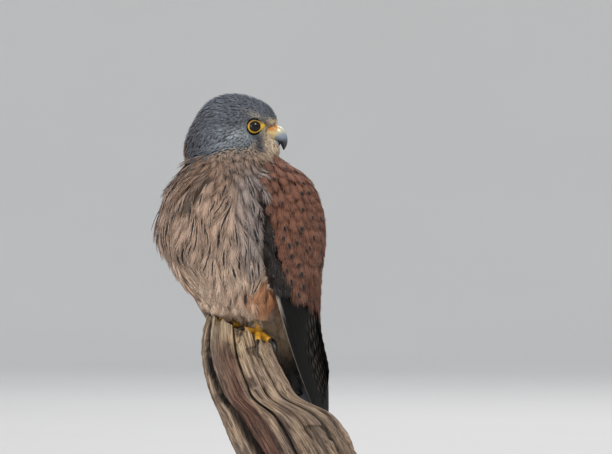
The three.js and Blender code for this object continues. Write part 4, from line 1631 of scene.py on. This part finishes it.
def make_lower_bill(horn):
    def sizes(t):
        return np.stack([4.3 - 2.8 * t**2, 2.6 - 1.6 * t**2], -1)

    points, share, _ = horn_rings(head_places(LOWER_SPINE), sizes, around=28, rings=20)
    lower = tube("bill_lower_horn", points, horn)
    tint = mixed(CERE_YELLOW, BILL_BLUE, ramp(share, 0.35, 0.7))
    paint(lower, tint=mixed(tint, BILL_TIP, ramp(share, 0.75, 1.0)).reshape(-1, 3))
    mount(lower, "horn", "bill_lower")


def nostril(share, turn):
    """The round nostril on both sides of the cere, with a low rim."""
    off = np.abs((turn + np.pi / 2) % (2 * np.pi) - np.pi)
    across = np.abs(off - (np.pi / 2 - NOSTRIL[1])) * 6
    away = np.hypot((share - NOSTRIL[0]) * 7.5, across)
    return 1 - 0.2 * ramp(away, 1.0, 0.6) + 0.04 * bump(away, 1.35, 0.35)


def make_cere(flesh):
    def sizes(t):
        end = 0.9 * ramp(t, 0.9, 1)
        return np.stack([6.2 - 0.7 * t - end, 5.4 - 0.3 * t - end], -1)

    points, share, turn = horn_rings(head_places(CERE_SPINE), sizes, around=64, rings=40, shaped=nostril)
    cere = tube("cere_skin", points, flesh)
    blotch = np.sin(turn) + 0.5 * (rough(points, 2.2, 7) - 0.5)
    tint = mixed(CERE_YELLOW, CERE_ORANGE, ramp(blotch, -0.25, 0.3))
    # Painted shade inside the nostril: its hollow is coloured as dark as the bill's tip
    tint = mixed(tint, BILL_TIP, ramp(nostril(share, turn), 0.95, 0.84))
    paint(cere, tint=tint.reshape(-1, 3))
    mount(cere, "yellow_skin", "cere")


def make_bill():
    horn = horn_material("bill_horn", roughness=0.3, coat=0.5, scale=900.0)
    flesh = horn_material("cere_skin", roughness=0.42, coat=0.25, scale=1400.0)
    make_upper_bill(horn)
    make_lower_bill(horn)
    make_cere(flesh)


PUPIL = 2.7
IRIS = 4.3
EYE_TILT = math.radians(18)
LID_LONG, LID_SHORT, LID_TALL = 8.2, 5.3, 5.0
IRIS_COLOUR = linear((40, 25, 16))
LID_YELLOW = linear((216, 172, 30))
LID_SHADE = linear((132, 98, 26))
# The ring round the eye, from its rim against the eyeball outwards: share of its width and height
LID_PROFILE = np.array(
    [
        [0.0, 5.2],
        [-0.02, 6.15],
        [0.06, 6.5],
        [0.2, 6.5],
        [0.4, 6.15],
        [0.6, 5.9],
        [0.8, 5.55],
        [1.0, 4.7],
        [1.06, 3.2],
    ]
)


def eye_axes(side):
    """The eye's middle, and its directions outwards, towards the bill and up."""
    outward = unit(HEAD_SIDE * side * math.cos(EYE_TILT) + BILL_WAY * math.sin(EYE_TILT))
    up = np.array([0.0, 0.0, 1.0])
    forward = unit(BILL_WAY - dot(BILL_WAY, outward) * outward)
    return head(EYE[0], side * EYE[1], EYE[2]), outward, forward, up


def make_eye(name, side, material, node):
    middle, outward, forward, up = eye_axes(side)
    tilt = np.linspace(0.02, np.pi - 0.02, 60)[:, None]
    turn = np.linspace(0, 2 * np.pi, 64, endpoint=False)[None, :] * side
    away = np.sin(tilt) * EYE_RADIUS
    bulge = 1 + 0.045 * ramp(away, IRIS, 0.5) * (np.cos(tilt) > 0)
    points = middle + (np.cos(tilt) * EYE_RADIUS * bulge + 0 * turn)[..., None] * outward
    points = points + (away * bulge * np.cos(turn))[..., None] * forward
    points = points + (away * bulge * np.sin(turn))[..., None] * up
    eye = tube(name, points, material)
    streaks = 0.75 + 0.5 * rough(stack(turn * 9, away, 0.0), 1.0, 4)
    colour = IRIS_COLOUR * streaks[..., None] * (0.6 + 0.8 * ramp(away, 3.4, 2.9))[..., None]
    colour = mixed(colour, linear((6, 5, 5)), ramp(away + 0 * turn, PUPIL + 0.12, PUPIL - 0.12))
    colour = mixed(colour, linear((14, 10, 8)), ramp(away + 0 * turn, IRIS - 0.3, IRIS))
    paint(eye, tint=colour.reshape(-1, 3))
    mount(eye, "eye", node)


def make_lids(name, side, material):
    """The bare yellow ring round the eye, longer towards the bill, with a thick rim against the eyeball."""
    middle, outward, forward, up = eye_axes(side)
    turn = np.linspace(0, 2 * np.pi, 96, endpoint=False)[None, :] * side
    share, height = LID_PROFILE[:, :1], LID_PROFILE[:, 1:]
    ahead = np.clip(np.cos(turn), 0, 1)
    long_way = mixed_values(EYE_OPENING, LID_SHORT + (LID_LONG - LID_SHORT) * ahead**1.3, share)
    tall_way = mixed_values(EYE_OPENING * 0.97, LID_TALL * (1 - 0.16 * ahead**2), share)
    crease = 0.14 * np.sin(26 * turn) * np.sin(np.pi * np.clip(share, 0, 1))
    height = height + crease - 0.8 * share**2 * np.cos(turn)
    points = middle + height[..., None] * outward
    rise = tall_way * np.sin(turn) + 0.8 * share * ahead**2
    points = points + (long_way * np.cos(turn))[..., None] * forward + rise[..., None] * up
    lids = tube(name, points, material)
    rim = ramp(share, 0.12, 0.02) + 0 * turn
    grain = rough(points, 1.1, 2)
    # Painted shade of the brow: the ring's upper part darkens towards LID_SHADE; its grain and outer edge
    # darken it as well
    upper = ramp(np.sin(turn), 0.1, 0.8)
    shaded = 0.4 * ramp(grain, 0.45, 0.9) + 0.3 * ramp(share, 0.7, 1) + 0.8 * upper
    colour = mixed(LID_YELLOW, LID_SHADE, np.clip(shaded, 0, 1))
    paint(lids, tint=mixed(colour, linear((34, 26, 16)), rim).reshape(-1, 3))
    mount(lids, "yellow_skin")


# Feet and claws

# Where each foot stands, and its toes: bearing in degrees and length
FEET = {
    "right": ((2, 8), ((204, 20), (170, 16), (242, 17), (62, 12))),
    "left": ((13, -4), ((272, 17), (308, 15), (228, 15), (38, 12))),
}
FOOT_YELLOW = linear((216, 160, 44))
FOOT_CREASE = linear((128, 84, 22))
CLAW_COLOUR = linear((26, 25, 28))
TOE_PLATES = 11


def rest_height(x):
    """Height of the broken top of the branch, which falls to the viewer's right."""
    return 149.6 - 0.42 * x


def toe_points(foot, bearing, length):
    turn = math.radians(bearing)
    points = []
    for share, lift in ((0, 3.6), (0.35, 3.9), (0.7, 3.0), (1, 2.9)):
        x, y = foot[0] + math.cos(turn) * length * share, foot[1] + math.sin(turn) * length * share
        points.append((x, y, rest_height(x) + lift - max(abs(y) - 15, 0) * 0.7))
    return points


def make_toe(name, points, radius, taper, material):
    """A toe or shank with plates across its upper side and round pads beneath."""
    way = np.array(points[-1]) - points[0]
    upright = np.array([0.0, 0.0, 1.0]) if abs(unit(way)[2]) < 0.8 else BREAST_WAY
    across = unit(np.cross(way, upright))

    def sizes(t):
        size = (radius - taper * t) * (1 - 0.6 * ramp(t, 0.94, 1.0))
        return np.stack([size, size], -1)

    def shaped(share, turn):
        over, under = np.clip(np.sin(turn), 0, 1), np.clip(-np.sin(turn), 0, 1)
        step = (share * TOE_PLATES) % 1
        plate = 0.09 * (step**0.5 - 0.6) * over**0.4
        pads = 0.14 * np.sin(share * np.pi * 4) ** 2 * under
        return 1 + plate + pads

    rows, share, turn = horn_rings(points, sizes, around=20, rings=64, across=across, shaped=shaped)
    flip = unit(np.cross(across, way))[2] < 0 and upright[2] > 0
    if flip:
        turn = -turn
    toe = tube(name, rows, material)
    step = (share * TOE_PLATES) % 1
    crease = ramp(step, 0.16, 0.02) * (0.3 + 0.7 * np.clip(np.sin(turn), 0, 1))
    grain = rough(rows, 1.6, 6)
    colour = mixed(FOOT_YELLOW, FOOT_CREASE, np.clip(0.75 * crease + 0.35 * ramp(grain, 0.5, 0.95), 0, 1))
    paint(toe, tint=colour.reshape(-1, 3))
    return toe


def make_foot(name, scales, horn):
    (x, y), toes = FEET[name]
    pieces = []
    for index, (bearing, length) in enumerate(toes):
        points = toe_points((x, y), bearing, length)
        pieces.append(make_toe(f"toe_{name}_{index + 1}", points, 2.6, 0.55, scales))
        make_claw(f"talon_{name}_{index + 1}", points, horn, f"claw_{name}_{index + 1}")
    ground = rest_height(x)
    ankle = [(x, y, ground + 1.5), (x + 0.3, y - 0.3, ground + 8), (x + 0.5, y - 0.5, ground + 14)]
    pieces.append(make_toe(f"shank_{name}", ankle, 3.7, 0.6, scales))
    foot = join(f"scaled_foot_{name}", pieces)
    mount(foot, "yellow_skin", f"foot_{name}")


def make_claw(name, toe, material, node):
    root, out = np.array(toe[-1], float), unit(np.array(toe[-1]) - toe[-2])
    reach = ((0.2, 0), (3.6, 0.2), (6.6, 2.4), (7.9, 6.4))
    spine = [root + out * ahead - np.array([0, 0, down]) for ahead, down in reach]

    def sizes(t):
        size = 1.7 - 1.45 * t**0.85
        return np.stack([size * 0.82, size], -1)

    across = np.cross(out, (0, 0, 1))
    points, share, _ = horn_rings(spine, sizes, around=18, rings=26, across=across)
    claw = tube(name, points, material)
    paint(claw, tint=mixed(CLAW_COLOUR, CLAW_COLOUR * 3.2, ramp(share, 0.25, 0.0)).reshape(-1, 3))
    mount(claw, "claw", node)


# Branch and stand

PERCH_FOOT, PERCH_TOP = 33.0, 168.0
PERCH_SLICES = smooth_table(
    [
        [33, 10, 97, 31],
        [57, -2, 86, 30],
        [76, -11, 76, 28],
        [88, -16, 65, 27],
        [99, -21, 43, 25],
        [112, -25, 34, 24],
        [137, -28, 22, 22],
        [152, -26, 17, 20],
        [168, -21, 11, 18],
    ]
)

# Long cracks in the branch: bearing in radians at the height of 90, its change for each millimetre up,
# half width and depth
CRACKS = (
    (-2.42, -0.0052, 0.1, 10),
    (-1.56, -0.0005, 0.036, 4.5),
    (-1.16, -0.0010, 0.035, 3),
    (-0.72, -0.0022, 0.06, 5),
    (0.6, -0.0022, 0.1, 6),
    (1.9, -0.0022, 0.12, 7),
    (2.95, -0.0022, 0.09, 5),
)
WOOD_PALE = linear((216, 190, 162))
WOOD_GREY = linear((184, 162, 142))
WOOD_RED = linear((128, 92, 76))
WOOD_CRACK_SHADE = linear((48, 36, 30))
WOOD_FRESH = linear((242, 218, 178))


def perch_wall(up, angle):
    """A place on the branch's side, and how deep it lies in a crack."""
    left, right, depth = np.moveaxis(PERCH_SLICES(up), -1, 0)
    twist = angle + 0.0022 * (up - 90)
    crack = 0.0
    for bearing, slope, width, deep in CRACKS:
        off = angle - bearing - slope * (up - 90)
        off = np.arctan2(np.sin(off), np.cos(off))
        crack = crack + deep * np.exp(-((off / width) ** 2))
    strands = np.stack([np.cos(twist) * 60, np.sin(twist) * 60, up * 0.09], -1)
    fibre = 2.0 * (rough(strands, 4.1, 1) - 0.5) + 2.0 * (0.5 - np.abs(rough(strands, 2.1, 2) * 2 - 1))
    flat = np.stack([twist * 22, 0 * twist, up * 0.5], -1)
    chips = 2.2 * ramp(rough(flat, 6, 4), 0.62, 0.7)
    chips = chips + 1.5 * ramp(rough(flat * (1.6, 1, 0.7), 2.6, 6), 0.6, 0.66)
    ribs = 0.9 * np.cos(7 * twist) + 0.6 * np.cos(12 * twist + 1) + fibre
    ribs = ribs - chips * ramp(np.cos(angle), -0.4, 0.1)
    across = (right - left) / 2 - crack + ribs
    x, y = (left + right) / 2 + across * np.cos(angle), (depth - crack + ribs) * np.sin(angle)
    return x, y, crack, fibre - 0.5 * chips


def broken_height(x, y):
    """Height of the splintered top."""
    radius, angle = np.hypot(x + 3, y), np.arctan2(y, x + 3)
    splinter = 2.6 * np.cos(angle * 7 + 0.4) + 1.8 * np.cos(angle * 13 + 2)
    needles = 3.4 * (rough(np.stack([x * 1.0, y * 0.8, 0 * x], -1), 1.5, 9) - 0.5)
    cleft = 9 * bump(x, -1.0, 2.0) * ramp(y, -9, -15)
    return rest_height(x) + 0.4 + ramp(radius, 12, 22) * (1.0 + splinter + needles) + 0.3 * needles - cleft


def wood_material():
    material, tree, shader = new_material("weathered_branch", 0.85)
    tint = painted(tree, "tint").outputs["Color"]
    strands = painted(tree, "strands").outputs["Vector"]
    long_grain = noise_of(tree, 1.0, 5.0, 0.65, strands)
    fine = noise_of(tree, 3.1, 3.0, 0.6, strands)
    dark = map_range(tree, long_grain, 0.4, 0.6, 0.9, 0.0)
    plates = map_range(tree, noise_of(tree, 0.4, 3.0, 0.6, strands), 0.47, 0.54, 0.55, 0.0)
    ground = mix_colour(tree, plates, tint, (0.52, 0.47, 0.43), "MULTIPLY")
    ground = mix_colour(tree, dark, ground, (0.3, 0.26, 0.23), "MULTIPLY")
    pale = mix_colour(tree, map_range(tree, fine, 0.55, 0.8, 0.0, 0.4), ground, tuple(WOOD_PALE))
    tree.links.new(pale, shader.inputs["Base Color"])
    height = worked_out(tree, "MULTIPLY_ADD", fine, 0.4, long_grain)
    set_bump(tree, shader, height, 0.8, 0.0008)
    return material


PERCH_AROUND, PERCH_RINGS, PERCH_CAP = 300, 150, 26


def top_of_wall(angle):
    """Height at which the wall meets the broken top at each bearing, found step by step."""
    top = np.full(len(angle), 150.0)
    for _ in range(12):
        x, y, _, _ = perch_wall(np.minimum(top, PERCH_TOP), angle)
        top = 0.5 * top + 0.5 * broken_height(x, y)
    return top[None]


def cap_points(edge_x, edge_y):
    """Rings of the broken top, from the wall's upper edge inwards."""
    middle_x, middle_y = edge_x.mean(), edge_y.mean()
    inward = np.linspace(1, 0.02, PERCH_CAP)[1:, None]
    x, y = middle_x + (edge_x - middle_x) * inward, middle_y + (edge_y - middle_y) * inward
    return np.stack([x, y, broken_height(x, y)], -1)


def wall_colour(wall, angle, top, crack, fibre):
    """Grey weathered wood with a red band, painted shade in its cracks, grooves and chips, a painted shaded
    side towards +X and a fresh broken end.
    """
    up = wall[..., 2]
    beside = (angle + 2 * np.pi * (angle < 0)) - 2 * np.pi - 0.002 * (up - 90)
    band = ramp(beside, -2.36, -2.28) * ramp(beside, -1.62, -1.8)
    red = band * ramp(rough(wall * (1, 1, 0.1), 12, 8), 0.1, 0.4) * ramp(up, 150, 138)
    # Painted shade: the deeper a crack and the lower the fibres and chips, the darker
    dark = np.clip(0.85 * ramp(crack, 1.0, 4.5) + 0.5 * ramp(fibre, -0.35, -0.9), 0, 1)
    colour = mixed(WOOD_GREY, WOOD_PALE, ramp(rough(wall * (1, 1, 0.12), 9, 3), 0.35, 0.75))
    colour = mixed(mixed(colour, WOOD_RED, red), WOOD_CRACK_SHADE, dark)
    # Painted shade on the side towards +X
    colour = colour * (1 - 0.32 * ramp(wall[..., :1], 18, 50))
    fresh = ramp(up, top - 26, top - 4) * ramp(rough(wall * (1, 1, 0.2), 7, 5), 0.3, 0.6)
    return mixed(colour, WOOD_FRESH, 0.75 * fresh * (1 - ramp(crack, 1.0, 4.0)))


def make_perch():
    angle = np.linspace(0, 2 * np.pi, PERCH_AROUND, endpoint=False)
    top = top_of_wall(angle)
    up = PERCH_FOOT + (top - PERCH_FOOT) * np.linspace(0, 1, PERCH_RINGS)[:, None]
    x, y, crack, fibre = perch_wall(up, angle[None] + 0 * up)
    wall = np.stack([x, y, up], -1)
    cap = cap_points(x[-1], y[-1])
    perch = tube("weathered_perch", np.concatenate([wall, cap]), wood_material())
    colour = wall_colour(wall, angle[None], top, crack, fibre)
    cap_colour = mixed(WOOD_FRESH, WOOD_GREY, ramp(rough(cap * (1, 0.3, 1), 3, 5), 0.4, 0.7))
    twist = angle[None] + 0.0022 * (up - 90)
    strands = np.stack([np.cos(twist) * 55, np.sin(twist) * 55, up * 0.06], -1)
    cap_strands = cap * (1.4, 0.25, 0.1)
    paint(
        perch,
        tint=np.concatenate([colour, cap_colour]).reshape(-1, 3),
        strands=np.concatenate([strands, cap_strands]).reshape(-1, 3),
    )
    mount(perch, "weathered_wood", "perch")


def make_stand():
    material, tree, shader = new_material("stand_metal", 0.38, Metallic=0.85, Specular_IOR_Level=0.5)
    soft = noise_of(tree, 60.0, 4.0, 0.6)
    fine = noise_of(tree, 1800.0, 2.0, 0.5)
    shade = mix_colour(tree, soft, tuple(linear((46, 47, 50))), tuple(linear((58, 59, 62))))
    tree.links.new(shade, shader.inputs["Base Color"])
    tree.links.new(map_range(tree, soft, 0.3, 0.7, 0.32, 0.46), shader.inputs["Roughness"])
    set_bump(tree, shader, fine, 0.06, 0.0001)
    for node in ("stand_base", "stand_rod_1", "stand_rod_2"):
        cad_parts[node].data.materials.clear()
        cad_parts[node].data.materials.append(material)


# The whole model, in the order in which its pieces are made


def lay_skin():
    """The one skin over all the flesh, in the ground colours of the coat darkened by painted shade under
    the feathers, and its parts.
    """
    skin, parts = make_skin()
    skin.data.materials.clear()
    skin.data.materials.append(SOFT_PLUMAGE)
    mount(skin, "buff_plumage", *FLESH)
    surface = Surface(skin.data)
    # Painted shade under the feathers: the skin takes the coat's ground colours at 0.8 of their brightness
    paint(
        skin,
        tint=ground_colour(surface.points, parts) * 0.8,
        vane=stack(0.5, 0.5, 0.3 * rough(surface.points, 2.5)),
        mark=np.zeros_like(surface.points),
    )
    put_map(skin, unwrap(surface.points))
    return surface, parts


def make_eyes_and_feet():
    eye_gloss = horn_material("eye_gloss", roughness=0.04, coat=0.0, scale=500.0, specular=0.32)
    lid_skin = horn_material("lid_skin", roughness=0.4, coat=0.2, scale=1500.0)
    scales = horn_material("foot_scales", roughness=0.45, coat=0.15, scale=1200.0)
    claw_horn = horn_material("claw_horn", roughness=0.28, coat=0.5, scale=900.0)
    for name, side in SIDES:
        make_eye(f"eyeball_{name}", side, eye_gloss, f"eye_{name}")
        make_lids(f"eye_ring_{name}", side, lid_skin)
        make_foot(name, scales, claw_horn)


make_camera()
make_floor()
make_lights()
NODE_TREES = node_trees()
SKIN, skin_parts = lay_skin()
TRIANGLE_MIDDLES = SKIN.points[SKIN.triangles].mean(1)
TRIANGLE_PARTS = skin_parts[SKIN.triangles[:, 0]]
grow_head()
grow_front()
grow_back()
grow_legs()
for name, side in SIDES:
    grow_wing_coverts(f"coat_wing_{name}", side)
    grow_flights(f"flight_blades_{name}", side, f"flight_feathers_{name}")
grow_tail()
make_bill()
make_eyes_and_feet()
make_perch()
make_stand()
